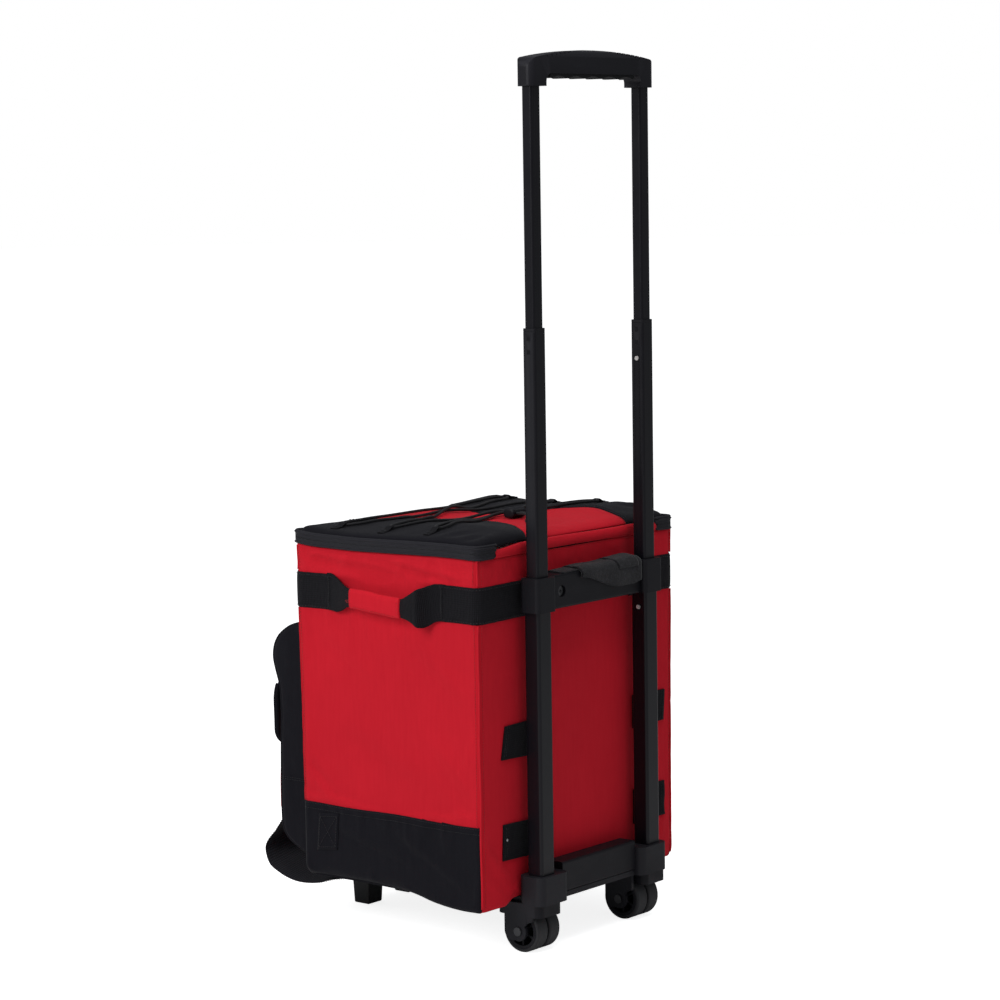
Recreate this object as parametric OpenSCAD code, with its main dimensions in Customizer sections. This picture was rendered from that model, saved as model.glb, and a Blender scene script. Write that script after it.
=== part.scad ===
// Soft-sided cooler bag on a two-wheel trolley with a two-stage telescopic handle.
// Frame: X across the bag, -Y is the pocket side, +Y is the handle side, Z up, floor at Z = 0,
// origin at the middle of the footprint. "Left" is the +X side.

/* [Overall] */
// Distance from the front strap loops to the rear faces of the wheel brackets
overall_d = 388; // [382:1:394]
// Height of the grip's top above the floor, handle extended
overall_h = 988; // [984:1:992]

/* [Bag] */
// Width of the bag
bag_w = 350; // [346:1:354]
// Depth of the bag
bag_d = 262; // [260:1:264]
// Height of the bag's mouth above the floor
mouth_z = 442; // [441:1:444]
// Height of the bag's underside above the floor
bag_z = 62; // [61:0.5:62]
// Plan radius of the bag's upright corners
bag_r = 8; // [6:1:10]
// Thickness of the outer fabric with its stiffener
shell_t = 1.5; // [1:0.1:2]
// Thickness of the foam insulation
foam_t = 8; // [5:1:10]
// Thickness of the leakproof liner
liner_t = 1; // [0.6:0.1:1.2]
// Height of the side seam between the lower and upper fabric
seam_z = 150; // [145:1:155]

/* [Lid] */
// Height of the lid's top above the mouth
lid_rise = 24; // [23:1:25]
// Height of the hinge fold above the mouth
fold_rise = 13; // [12:1:13]
// Diameter of the elastic cord on the lid
cord_d = 3.4; // [3:0.1:3.6]

/* [Pockets] */
// Half the width of the front pockets
pocket_hw = 156; // [152:1:160]
// Depth of the main front pocket
pocket_d = 57; // [55:1:58]
// Top of the main front pocket
pocket_z = 352; // [345:1:356]
// Depth of the open lower pocket
pouch_t = 9; // [8:0.5:10]

/* [Handle] */
// Distance between the two tubes of each stage
tube_gap = 195; // [194:1:196]
// Wall of every tube
tube_t = 1.2; // [1:0.1:1.3]
// Diameter of the catch buttons
button_d = 6; // [5:0.5:6]

/* [Wheels] */
// Wheel diameter
wheel_d = 49.2; // [48:0.1:50]
// Width of one twin wheel
wheel_w = 39; // [36:1:39]
// Axle diameter
axle_d = 6; // [5:0.5:6.5]

/* [Hidden] */
$fn = 48;
eps = 0.01;
fit = 0.2;                              // sliding clearance between telescoping parts
gap = 0.5;                              // clearance between parts that move past each other

// trolley
rear_y = overall_d / 2;
tube_x = tube_gap / 2;
tube_y = rear_y - 16;
wheel_x = 92;
wheel_r = wheel_d / 2;
axle_y = rear_y - 34.6;
tyre_t = 3.6;
bracket_in = 67;
bracket_out = 117;
bracket_mid = (bracket_in + bracket_out) / 2;
bracket_top = 88;
plate_t = 4;
well_r = wheel_r + 2.6;
deck_t = 6;
deck_z = bag_z - deck_t;
deck_front = -150;
foot_x = 36;
foot_y = -134;
crossbar_t = 24;

// telescopic tubes: outside width and depth of each stage, and their ends with the handle extended
outer_s = [23.6, 20.8];
middle_s = [20, 17];
inner_s = [16.4, 13.2];
outer_z = [64, 414];
middle_z = [345, 686];
inner_z = [636, 962];
middle_catch_z = 363;
inner_catch_z = 646;
collar_h = 3.5;
clamp_z = [380, 418];
clamp_s = [33, 26];
clamp_y = rear_y - 15;
bar_y = [rear_y - 36.4, rear_y - 10];
bar_hw = tube_x - 7;
bolt_x = 62;
bolt_z = 399;
bolt_r = 2.5;
head_r = 6.5;

// grip
grip_z0 = overall_h - 39.5;
grip_hw = 110.5;
grip_in = 85;
grip_d = 24;
grip_rise = 10;
grip_arc = (grip_hw * grip_hw + grip_rise * grip_rise) / (2 * grip_rise);
palm_z = overall_h - 26;

// bag, from outside to inside
bag_rear = rear_y - 36.6;
bag_front = bag_rear - bag_d;
bag_hw = bag_w / 2;
board_t = 3;
foam_hw = bag_hw - shell_t;
foam_y = [bag_front + shell_t, bag_rear - shell_t - board_t];
foam_z = bag_z + shell_t + board_t;
foam_top = mouth_z - 2;
liner_hw = foam_hw - foam_t;
liner_y = [foam_y[0] + foam_t, foam_y[1] - foam_t];
liner_z = foam_z + foam_t;
cavity_hw = liner_hw - liner_t;
cavity_y = [liner_y[0] + liner_t, liner_y[1] - liner_t];
cavity_z = liner_z + liner_t;
nut_r = 4.5;

// zip between bag and lid, which wraps the rear corners as far as wrap_x
tape_t = 2.2;
tape_h = 6.2;
tape_z = mouth_z - 2;
wrap_x = 145;
lid_z = tape_z + tape_h + 1;
lid_top = mouth_z + lid_rise;
lid_rear = bag_rear - 2;
lid_rear_r = 11;
lid_edge_r = 6;
lid_core = [342, 245, 11.8];
fold_z = mouth_z + fold_rise;
slider_s = [8, 3.4, 11];
pull_s = [4, 1.2, 22];

// webbing
band_t = 1.8;
band_z = [373, 414];
handle_y = [-54, 105];
sleeve_y = [-28, 48];
sleeve_z = [382, 405];
handle_bow = 15;
tab_x = [88, 150];
tab_z = [[108, 148], [223, 261]];
patch_y = [-87, -57];
patch_z = [99, 141];
strap_x = [110, 150];
strap_r = 24;
strap_c = [strap_r - rear_y, 78];
strap_t = 2;
wrap_bar_x = [-78, -6];

// front pockets
pocket_front = bag_front - pocket_d;
pocket_z0 = 100;
pouch_z = [102, 246];
flap_z = [204, 274];
flap_t = 2.4;
pocket_zip_y = pocket_front + 30;

// lid cord, its loops and its lock
loop_x = 150;
loop_ys = [-62, 8, 75];
loop_rise = 2.4;
cord_r = cord_d / 2;
cord_z = lid_top + cord_r + 0.3;
cross_rise = 4.2;
lock_s = [24, 16, 12];
lock_at = [0, 66, cord_z + 4.5];
lock_bore_r = 2.1;
lock_bores = [-3, 3];
lock_floor_x = -7.5;
lock_gap = 4;
plunger_r = 4.4;
plunger_out = 4;
spring_wire = 0.5;

// Half of the elastic cord's route: [x, y, rise above the lid], from its tail behind the lock, round
// the rear loop on one side, the middle loop on the other, then the front loop on the first side again.
cord_half = [[11, 122, 4], [5, 114, 4.4], [3, 106, 4.5], [3, 66, 4.5], [3, 54, 4.5], [10, 48, 4.5],
    [26, 50, 3], [60, 60, 0.6], [110, 73, 0.6], [140, 79, 2], [147, 75, 2.4], [141, 70, 2],
    [100, 61, 0.6], [40, 49, 0.6], [0, 41, 0], [-50, 31, 0.6], [-100, 20, 0.6], [-141, 12, 2],
    [-147, 8, 2.4], [-141, 4, 2], [-100, -5, 0.6], [-40, -18, 0.6], [0, -27, 0], [50, -38, 0.6],
    [100, -49, 0.6], [141, -57, 2], [147, -62, 2.4], [141, -67, 2], [100, -71, 0.6], [50, -73, 0]];

// ---------------------------------------------------------------- helpers

// Rectangle with round corners, centred
module rrect(w, d, r) {
    square([w - 2 * r, d], center = true);
    square([w, d - 2 * r], center = true);
    for (x = [-1, 1], y = [-1, 1])
        translate([x * (w / 2 - r), y * (d / 2 - r)]) circle(r);
}

// Upright block with round corners between two X, two Y and two Z values
module block(x, y, z, r) {
    translate([(x[0] + x[1]) / 2, (y[0] + y[1]) / 2, z[0]])
        linear_extrude(z[1] - z[0]) rrect(x[1] - x[0], y[1] - y[0], r);
}

// Square-cornered block between two X, two Y and two Z values
module box(x, y, z) {
    translate([x[0], y[0], z[0]]) cube([x[1] - x[0], y[1] - y[0], z[1] - z[0]]);
}

// An outline in (Y, Z), extruded between two X values
module along_x(x) {
    translate([x[0], 0, 0]) rotate([90, 0, 90]) linear_extrude(x[1] - x[0]) children();
}

// An outline in (X, Z), extruded between two Y values
module along_y(y) {
    translate([0, y[1], 0]) rotate([90, 0, 0]) linear_extrude(y[1] - y[0]) children();
}

// Cylinder along X from one X value to another, at [y, z]
module rod_x(x, at, r) {
    translate([x[0], at[0], at[1]]) rotate([0, 90, 0]) cylinder(h = x[1] - x[0], r = r);
}

// Cylinder along Y from one Y value to another, at [x, z]
module rod_y(y, at, r) {
    translate([at[0], y[1], at[1]]) rotate([90, 0, 0]) cylinder(h = y[1] - y[0], r = r);
}

module both_sides() {
    children();
    mirror([1, 0, 0]) children();
}

module right_side() {
    mirror([1, 0, 0]) children();
}

function grown(s, by) = [s[0] + by, s[1] + by];
function bore(s) = grown(s, -2 * tube_t);

// Upright prism of a tube's outline at the left tube's place
module tube_prism(s, z, r) {
    translate([tube_x, tube_y, z[0]]) linear_extrude(z[1] - z[0]) rrect(s[0], s[1], r);
}

module stage_tube(s, z, r) {
    difference() {
        tube_prism(s, z, r);
        tube_prism(bore(s), [z[0] - eps, z[1] + eps], r - 1);
    }
}

// Hole for a catch button in the inward wall of the left tube
module catch_hole(s, z) {
    rod_x([tube_x - s[0] / 2 - 1, tube_x], [tube_y, z], button_d / 2 + fit);
}

// ---------------------------------------------------------------- trolley base

module bracket() {
    color("#17181b") difference() {
        union() {
            block([bracket_in, bracket_out], [rear_y - 34, rear_y], [deck_z, bracket_top], 9);
            block([bracket_in + 9, bracket_out], [axle_y - 30, rear_y - 3], [wheel_r + 18, deck_z + eps], 8);
            box([bracket_in, bracket_out - 8], [axle_y - 38, rear_y - 30], [deck_z - 4, bag_z]);
            for (x = [bracket_in, bracket_out - plate_t])
                along_x([x, x + plate_t]) translate([axle_y, wheel_r]) fork_outline();
        }
        rod_x([bracket_in + plate_t, bracket_out - plate_t], [axle_y, wheel_r], well_r);
        rod_x([bracket_in - 1, bracket_out + 1], [axle_y, wheel_r], axle_d / 2);
        tube_prism(outer_s, [outer_z[0], bracket_top + 1], 3.5);
    }
}

// Side plate of the wheel fork, about the axle, cut away in a curve at the rear
module fork_outline() {
    difference() {
        union() {
            translate([-19, 0]) square([38, deck_z - wheel_r + 1]);
            rrect(38, 14, 6.9);
        }
        translate([22, -3]) circle(16);
    }
    for (y = [-8, 0]) translate([y, 0]) circle(11);
}

module bracket_left() { bracket(); }
module bracket_right() { right_side() bracket(); }

module base_crossbar() {
    color("#17181b") difference() {
        along_x([-bracket_in, bracket_in])
            translate([rear_y - 22, bag_z + 17.2]) rrect(crossbar_t, 34.4, 3);
        // hollow back, open towards the bag, with ribs left between the cells
        for (x = [-58 : 20 : 42])
            box([x, x + 16], [rear_y - 35, rear_y - 14], [bag_z + 4, bag_z + 30]);
    }
}

module base_deck() {
    color("#1a1b1e") difference() {
        union() {
            block([-100, 100], [deck_front, axle_y - 39], [deck_z, bag_z], 12);
            box([-bracket_in, bracket_in], [axle_y - 45, rear_y - 11], [deck_z, bag_z]);
            for (x = [-60, -20, 20, 60])
                box([x - 2, x + 2], [deck_front + 14, axle_y - 10], [deck_z - 6, deck_z + eps]);
        }
        for (x = [-40, 0, 40], y = [-70, -20, 30, 80])
            block([x - 14, x + 14], [y - 18, y + 18], [deck_z - 7, bag_z + 1], 5);
    }
}

module front_feet() {
    color("#121315") both_sides() intersection() {
        along_x([foot_x - 15, foot_x + 15]) polygon([[foot_y - 14, deck_z], [foot_y - 11, 0],
            [foot_y + 11, 0], [foot_y + 14, deck_z]]);
        along_y([foot_y - 15, foot_y + 15]) polygon([[foot_x - 14, deck_z], [foot_x - 12, 0],
            [foot_x + 12, 0], [foot_x + 14, deck_z]]);
    }
}

module wheel_axles() {
    color("silver") both_sides() {
        rod_x([bracket_in - 1.5, bracket_out + 1.5], [axle_y, wheel_r], axle_d / 2);
        rod_x([bracket_in - 1.5, bracket_in], [axle_y, wheel_r], axle_d / 2 + 2);
        rod_x([bracket_out, bracket_out + 1.5], [axle_y, wheel_r], axle_d / 2 + 2);
    }
}

module wheel_core() {
    rim_r = wheel_r - tyre_t;
    hw = wheel_w / 2;
    color("#1b1c1f") translate([wheel_x, axle_y, wheel_r]) rotate([0, 90, 0]) difference() {
        union() {
            rotate_extrude() polygon([[0, -hw], [8, -hw], [8, -3], [rim_r - 4, -3], [rim_r - 4, -hw],
                [rim_r, -hw], [rim_r, hw], [rim_r - 4, hw], [rim_r - 4, 3], [8, 3], [8, hw], [0, hw]]);
            for (a = [0 : 60 : 300]) rotate(a) translate([7, -1.5, 3 - hw])
                cube([rim_r - 10, 3, wheel_w - 6]);
        }
        cylinder(h = wheel_w + 2, r = axle_d / 2 + 0.05, center = true);
    }
}

module wheel_core_left() { wheel_core(); }
module wheel_core_right() { right_side() wheel_core(); }

// Two tyres side by side with a groove between them
module tyres() {
    rim_r = wheel_r - tyre_t;
    tyre_w = wheel_w / 2 - 1.5;
    color("#0d0e10") translate([wheel_x, axle_y, wheel_r]) rotate([0, 90, 0])
        for (z = [-wheel_w / 2, 1.5]) translate([0, 0, z]) rotate_extrude() intersection() {
            translate([wheel_r - 5, tyre_w / 2]) rrect(10, tyre_w, 2.5);
            translate([rim_r, 0]) square([tyre_t, tyre_w]);
        }
}

module tyres_left() { tyres(); }
module tyres_right() { right_side() tyres(); }

// ---------------------------------------------------------------- telescopic handle

module outer_tube() {
    color("#202228") difference() {
        stage_tube(outer_s, outer_z, 3.5);
        catch_hole(outer_s, middle_catch_z);
    }
}

module outer_tube_left() { outer_tube(); }
module outer_tube_right() { right_side() outer_tube(); }

module outer_bushes() {
    color("#0e0f11") both_sides() difference() {
        union() {
            tube_prism(bore(outer_s), [outer_z[1] - 12, outer_z[1]], 2.5);
            tube_prism(outer_s, [outer_z[1], outer_z[1] + 2], 3.5);
        }
        tube_prism(grown(middle_s, 2 * fit), [outer_z[1] - 13, outer_z[1] + 3], 3);
    }
}

module upper_bracket() {
    color("#17181b") difference() {
        union() {
            both_sides() block([tube_x - clamp_s[0] / 2, tube_x + clamp_s[0] / 2],
                [clamp_y - clamp_s[1] / 2, clamp_y + clamp_s[1] / 2], clamp_z, 5);
            along_x([-bar_hw, bar_hw]) translate([(bar_y[0] + bar_y[1]) / 2, bolt_z])
                rrect(bar_y[1] - bar_y[0], clamp_z[1] - clamp_z[0], 3);
        }
        both_sides() {
            tube_prism(outer_s, [clamp_z[0] - 1, outer_z[1] + 2], 3.5);
            tube_prism(grown(middle_s, 1), [outer_z[1], clamp_z[1] + 1], 3);
            rod_y([bar_y[0] - 1, bar_y[1] + 1], [bolt_x, bolt_z], bolt_r);
            rod_y([bar_y[1] - 6, bar_y[1] + 1], [bolt_x, bolt_z], head_r);
        }
    }
}

// Two bolts and nuts that clamp the upper bracket to the board in the bag's back
module frame_bolts() {
    color("#9a9ca0") both_sides() difference() {
        union() {
            rod_y([foam_y[1] - 4.5, bar_y[1] - 6], [bolt_x, bolt_z], bolt_r);
            rod_y([bar_y[1] - 6, bar_y[1] - 2.5], [bolt_x, bolt_z], head_r - 1);
            rod_y([foam_y[1] - 3.5, foam_y[1]], [bolt_x, bolt_z], nut_r);
        }
        // cross recess in the head
        for (s = [[5, 1.2], [1.2, 5]])
            box([bolt_x - s[0] / 2, bolt_x + s[0] / 2], [bar_y[1] - 4, bar_y[1]],
                [bolt_z - s[1] / 2, bolt_z + s[1] / 2]);
    }
}

// Square crimps that hold a bush in the top of a middle tube
module crimps() {
    for (z = [664, 678.5], x = [-1, 1])
        translate([tube_x + x * middle_s[0] / 2, tube_y, z]) cube([0.8, 4.5, 5], center = true);
}

module middle_tube() {
    color("#202228") difference() {
        stage_tube(middle_s, middle_z, 3);
        catch_hole(middle_s, middle_catch_z);
        catch_hole(middle_s, inner_catch_z);
        crimps();
    }
}

module middle_tube_left() { middle_tube(); }
module middle_tube_right() { right_side() middle_tube(); }

module middle_bushes() {
    color("#0e0f11") both_sides() difference() {
        union() {
            tube_prism(bore(middle_s), [middle_z[1] - 10, middle_z[1]], 2);
            tube_prism(middle_s, [middle_z[1], middle_z[1] + collar_h], 3);
        }
        tube_prism(grown(inner_s, 2 * fit), [middle_z[1] - 11, middle_z[1] + collar_h + 1], 2.5);
    }
}

// Plug in the foot of a stage, which guides it in the tube outside it
module foot_plug(s, outside, z0) {
    tube_prism(bore(s), [z0, z0 + 5], 2.2);
    tube_prism(grown(bore(outside), -2 * fit), [z0 - 5, z0], 2.6);
}

module middle_plugs() {
    color("#0e0f11") both_sides() foot_plug(middle_s, outer_s, middle_z[0]);
}

module inner_plugs() {
    color("#0e0f11") both_sides() foot_plug(inner_s, middle_s, inner_z[0]);
}

// Leaf spring folded to a U, with the button that it pushes out through two tube walls
module catch_spring(s, outside, z, button_z) {
    hw = bore(s)[0] / 2;
    leaf = [0.6, 7];
    for (x = [tube_x - hw, tube_x + hw - leaf[0]])
        box([x, x + leaf[0]], [tube_y - leaf[1] / 2, tube_y + leaf[1] / 2], z);
    fold = button_z - z[0] > z[1] - button_z ? z[0] : z[1] - leaf[0];
    box([tube_x - hw, tube_x + hw], [tube_y - leaf[1] / 2, tube_y + leaf[1] / 2], [fold, fold + leaf[0]]);
    rod_x([tube_x - outside[0] / 2 - 0.8, tube_x - hw + leaf[0]], [tube_y, button_z], button_d / 2 - 0.5);
}

module middle_catches() {
    color("#c9cbd0") both_sides() catch_spring(middle_s, outer_s, [351, 367], middle_catch_z);
}

module inner_catches() {
    color("#c9cbd0") both_sides() catch_spring(inner_s, middle_s, [642, 656], inner_catch_z);
}

module inner_tube() {
    color("#202228") difference() {
        stage_tube(inner_s, inner_z, 2.5);
        catch_hole(inner_s, inner_catch_z);
        rod_y([tube_y - 10, tube_y + 10], [tube_x, grip_z0 + 7], 2);
    }
}

module inner_tube_left() { inner_tube(); }
module inner_tube_right() { right_side() inner_tube(); }

// Arched grip with a socket at each end for the inner tubes
module grip_shell() {
    color("#15161a") difference() {
        intersection() {
            along_y([tube_y - grip_d / 2, tube_y + grip_d / 2]) difference() {
                intersection() {
                    translate([0, overall_h - grip_arc]) circle(grip_arc, $fn = 360);
                    union() {
                        translate([0, grip_z0 + 15.7]) rrect(2 * grip_hw, 31.4, 12);
                        translate([0, grip_z0 + 9]) rrect(2 * grip_hw, 18, 2);
                        translate([0, grip_z0 + 25]) square([2 * grip_hw - 20.2, 50], center = true);
                    }
                }
                translate([0, palm_z - 20]) rrect(2 * grip_in, 40, 9);
            }
            block([-grip_hw, grip_hw], [tube_y - grip_d / 2, tube_y + grip_d / 2],
                [grip_z0 - 1, overall_h + 1], 9);
            along_x([-grip_hw, grip_hw]) translate([tube_y, overall_h - 30]) rrect(grip_d, 60, 8);
        }
        both_sides() {
            tube_prism(inner_s, [grip_z0 - 1, inner_z[1]], 2.5);
            rod_y([tube_y - 20, tube_y + 9], [tube_x, grip_z0 + 7], 2);
            // slanted grooves over the shoulders
            for (i = [0 : 5]) translate([50 + 8 * i, tube_y, overall_h]) rotate([0, 6, 30])
                cube([2, 40, 7.2 + 1.9 * i], center = true);
        }
    }
}

// Soft underside of the grip with five finger hollows
module grip_insert() {
    color("#0c0d0f") difference() {
        along_y([tube_y - 9.5, tube_y + 9.5]) translate([0, palm_z - 2.5])
            rrect(2 * grip_in - 19.5, 5, 2.4);
        for (x = [-60 : 30 : 60])
            rod_y([tube_y - 12, tube_y + 12], [x, palm_z - 36.5], 34);
    }
}

module grip_rivets() {
    color("#9a9ca0") both_sides() rod_y([tube_y - 11, tube_y + 9], [tube_x, grip_z0 + 7], 2);
}

// ---------------------------------------------------------------- bag

// Two holes for the frame bolts, through everything between two Y values
module bolt_holes(y, r) {
    both_sides() rod_y(y, [bolt_x, bolt_z], r);
}

module bag_shell() {
    color("#b3202c") difference() {
        block([-bag_hw, bag_hw], [bag_front, bag_rear], [bag_z, mouth_z], bag_r);
        block([-foam_hw, foam_hw], [bag_front + shell_t, bag_rear - shell_t],
            [bag_z + shell_t, mouth_z + 1], bag_r - shell_t);
        bolt_holes([foam_y[1], bag_rear + 1], bolt_r);
    }
}

// Board behind the bag's back and board under its floor
module stiffener_boards() {
    color("#7a6a50") {
        difference() {
            box([10 - foam_hw, foam_hw - 10], [foam_y[1], foam_y[1] + board_t], [foam_z + 1, foam_top]);
            bolt_holes([foam_y[1] - 1, bag_rear], bolt_r);
        }
        box([10 - foam_hw, foam_hw - 10], [foam_y[0] + 8, foam_y[1]], [foam_z - board_t, foam_z]);
    }
}

module foam_insulation() {
    color("#e8e8ea") difference() {
        block([-foam_hw, foam_hw], foam_y, [foam_z, foam_top], bag_r);
        block([-liner_hw, liner_hw], liner_y, [liner_z, foam_top + 1], 5);
        bolt_holes([foam_y[1] - 5, foam_y[1] + 1], nut_r + 0.5);
    }
}

module bag_liner() {
    color("#cfd2d6") difference() {
        block([-liner_hw, liner_hw], liner_y, [liner_z, foam_top], 5);
        block([-cavity_hw, cavity_hw], cavity_y, [cavity_z, foam_top + 1], 4);
    }
}

module lower_side_panels() {
    color("#222226") both_sides()
        box([bag_hw, bag_hw + 1], [bag_front + bag_r, bag_rear - bag_r], [bag_z, seam_z]);
}

module corner_piping() {
    reach = (bag_r + 1.5) / sqrt(2);
    color("#8e1420") both_sides() for (z = [[bag_z + 4, band_z[0] - 1], [band_z[1] + 1, tape_z]])
        translate([bag_hw - bag_r + reach, bag_rear - bag_r + reach, z[0]]) cylinder(h = z[1] - z[0], r = 1.5);
}

// Ring round the bag's outside, of a given thickness
module bag_ring(t, z, r) {
    difference() {
        block([-bag_hw - t, bag_hw + t], [bag_front - t, bag_rear + t], z, r + t);
        block([-bag_hw, bag_hw], [bag_front, bag_rear], [z[0] - 1, z[1] + 1], r);
    }
}

module webbing_front() {
    color("#1d1d20") intersection() {
        bag_ring(band_t, band_z, bag_r);
        box([-300, 300], [-300, handle_y[0]], [0, 600]);
    }
}

module webbing_rear() {
    color("#1d1d20") both_sides() intersection() {
        bag_ring(band_t, band_z, bag_r);
        box([bar_hw + gap, 300], [handle_y[1], 300], [0, 600]);
    }
}

// Webbing carry handle that bows out from the bag's side, narrow where the hand holds it
module side_handle() {
    x0 = bag_hw;
    x1 = bag_hw + handle_bow;
    t = band_t;
    color("#1d1d20") difference() {
        linear_extrude(band_z[1]) polygon([[x0, handle_y[0]], [x0 + t, handle_y[0]], [x1, sleeve_y[0]],
            [x1, sleeve_y[1]], [x0 + t, handle_y[1]], [x0, handle_y[1]], [x0, handle_y[1] - 9],
            [x1 - t, sleeve_y[1] - 2], [x1 - t, sleeve_y[0] + 2], [x0, handle_y[0] + 7]]);
        box([0, 300], [-300, 300], [-1, band_z[0]]);
        for (z = [[0, sleeve_z[0]], [sleeve_z[1], 500]]) box([0, 300], sleeve_y, z);
    }
}

module side_handle_left() { side_handle(); }
module side_handle_right() { right_side() side_handle(); }

// Padded fabric sleeves round the side handles
module handle_sleeves() {
    x = bag_hw + handle_bow - band_t / 2;
    z = (sleeve_z[0] + sleeve_z[1]) / 2;
    color("#c0202e") both_sides() difference() {
        along_y([sleeve_y[0] + 3, sleeve_y[1] - 3]) translate([x, z]) rrect(6, 27, 2.8);
        along_y(sleeve_y) translate([x, z]) square([band_t, sleeve_z[1] - sleeve_z[0]], center = true);
    }
}

module tube_tabs() {
    color("#1d1d20") both_sides() for (z = tab_z) box(tab_x, [bag_rear, bag_rear + 2], z);
}

module base_patches() {
    color("#2a2a2e") both_sides() box([bag_hw + 1, bag_hw + 2], patch_y, patch_z);
}

// ---------------------------------------------------------------- pockets and straps

module pocket_plan(y, z, r) {
    intersection() {
        block([-pocket_hw, pocket_hw], [y[0], y[1] + 60], z, r);
        box([-300, 300], y, z);
    }
}

module front_pocket() {
    r = 26;
    color("#1f1f23") intersection() {
        pocket_plan([pocket_front, bag_front], [pocket_z0, pocket_z], 16);
        along_x([-pocket_hw, pocket_hw]) union() {
            translate([pocket_front, pocket_z0]) square([pocket_d, pocket_z - pocket_z0 - r]);
            translate([pocket_front + r, pocket_z0]) square([pocket_d - r, pocket_z - pocket_z0]);
            translate([pocket_front + r, pocket_z - r]) circle(r);
        }
    }
}

module pocket_zip() {
    color("#101012") box([-132, 132], [pocket_zip_y - 6, pocket_zip_y + 6], [pocket_z, pocket_z + 1.2]);
}

module pocket_slider() {
    x = [-104, -94];
    color("#9a9ca0") {
        box(x, [pocket_zip_y - 4, pocket_zip_y + 4], [pocket_z + 1.2 + gap, pocket_z + 5]);
        box([x[1] - 8, x[1] + 14], [pocket_zip_y - 2, pocket_zip_y + 2], [pocket_z + 5, pocket_z + 6.4]);
    }
}

module lower_pocket() {
    t = 1.5;
    color("#b3202c") difference() {
        pocket_plan([pocket_front - pouch_t, pocket_front], pouch_z, 7);
        box([6 - pocket_hw, pocket_hw - 6], [pocket_front - pouch_t + t, pocket_front + 1],
            [pouch_z[0] + t, pouch_z[1] + 1]);
    }
}

module pocket_flap() {
    y = [pocket_front - pouch_t - gap - flap_t, pocket_front - gap];
    color("#1f1f23") {
        box([-pocket_hw, pocket_hw], y, [flap_z[1] - flap_t, flap_z[1]]);
        intersection() {
            box([-pocket_hw, pocket_hw], [y[0], y[0] + flap_t], [flap_z[0], flap_z[1] - flap_t]);
            along_y([y[0] - 1, y[1]]) translate([0, flap_z[0] + 60]) rrect(2 * pocket_hw, 120, 20);
        }
    }
}

// Webbing loops from the lower pocket's foot round to the bag's underside
module front_strap_loops() {
    color("#26262a") both_sides() along_x(strap_x) {
        difference() {
            translate(strap_c) circle(strap_r);
            translate(strap_c) circle(strap_r - strap_t);
            translate([strap_c[0], 0]) square(200);
        }
        translate([strap_c[0], strap_c[1] + strap_r - strap_t]) square([5, strap_t]);
        polygon([[strap_c[0], strap_c[1] - strap_r], [-60, bag_z - strap_t], [-60, bag_z],
            [strap_c[0], strap_c[1] - strap_r + strap_t]]);
    }
}

// Hook-and-loop strap from the bag over the upper bracket
module crossbar_wrap() {
    top = clamp_z[1] + 0.2;
    color("#2b2b2f") {
        box(wrap_bar_x, [bag_rear, bar_y[1] + 2.7], [top, top + 2.5]);
        box(wrap_bar_x, [bar_y[1] + 0.2, bar_y[1] + 2.7], [396, top]);
    }
}

// ---------------------------------------------------------------- zip and lid

// Zip tape round the front, the sides and the rear corners
module zip_ring(z) {
    difference() {
        bag_ring(tape_t, z, bag_r);
        box([-wrap_x, wrap_x], [0, 300], [0, 600]);
    }
}

module rim_zip() {
    color("#101012") zip_ring([tape_z, tape_z + tape_h]);
}

module rim_slider() {
    y1 = bag_front - tape_t - gap;
    z1 = lid_z + 4;
    color("#9a9ca0") {
        box([3, 3 + slider_s[0]], [y1 - slider_s[1], y1], [z1 - slider_s[2], z1]);
        box([5, 5 + pull_s[0]], [y1 - slider_s[1] - pull_s[1], y1 - slider_s[1]], [z1 - 6 - pull_s[2], z1 - 6]);
    }
}

module rim_slider_left() { rim_slider(); }
module rim_slider_right() { right_side() rim_slider(); }

module hinge_fold() {
    color("#9c1826") box([-wrap_x, wrap_x], [bag_rear - 1.5, bag_rear - 0.2], [mouth_z, fold_z]);
}

module lid_zip() {
    color("#101012") zip_ring([lid_z, lid_z + tape_h]);
}

// Space inside the lid's cover between two heights
module lid_core_space(z) {
    box([-lid_core[0] / 2, lid_core[0] / 2], [bag_front + 4.6, bag_front + 4.6 + lid_core[1]], z);
}

module lid_cover() {
    front = bag_front;
    r = lid_edge_r;
    color("#26262b") difference() {
        intersection() {
            block([-bag_hw, bag_hw], [front, lid_rear], [lid_z, lid_top + 1], bag_r);
            along_x([-bag_hw, bag_hw]) union() {
                translate([front, lid_z]) square([lid_rear - front, lid_top - lid_z - lid_rear_r]);
                translate([front + r, lid_z]) square([lid_rear - front - r - lid_rear_r, lid_top - lid_z]);
                translate([front, lid_z]) square([r, lid_top - lid_z - r]);
                translate([front + r, lid_top - r]) circle(r);
                translate([lid_rear - lid_rear_r, lid_top - lid_rear_r]) circle(lid_rear_r);
            }
            along_y([front, lid_rear]) translate([0, lid_top - 20]) rrect(bag_w, 40, r);
        }
        lid_core_space([lid_z - 1, lid_z + 1 + lid_core[2]]);
    }
}

module lid_foam() {
    color("#e8e8ea") lid_core_space([lid_z + 1, lid_z + 1 + lid_core[2]]);
}

module lid_liner() {
    color("#cfd2d6") lid_core_space([lid_z, lid_z + 1]);
}

// Six sewn loops that hold the elastic cord
module cord_loops() {
    z = cord_z + loop_rise;
    color("#1d1d20") both_sides() for (y = loop_ys) {
        difference() {
            rod_y([y - 3, y + 3], [loop_x - 2, z], 4);
            rod_y([y - 4, y + 4], [loop_x - 2, z], 2.6);
        }
        box([loop_x - 2, loop_x + 12], [y - 5, y + 5], [lid_top, lid_top + 1]);
    }
}

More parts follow.
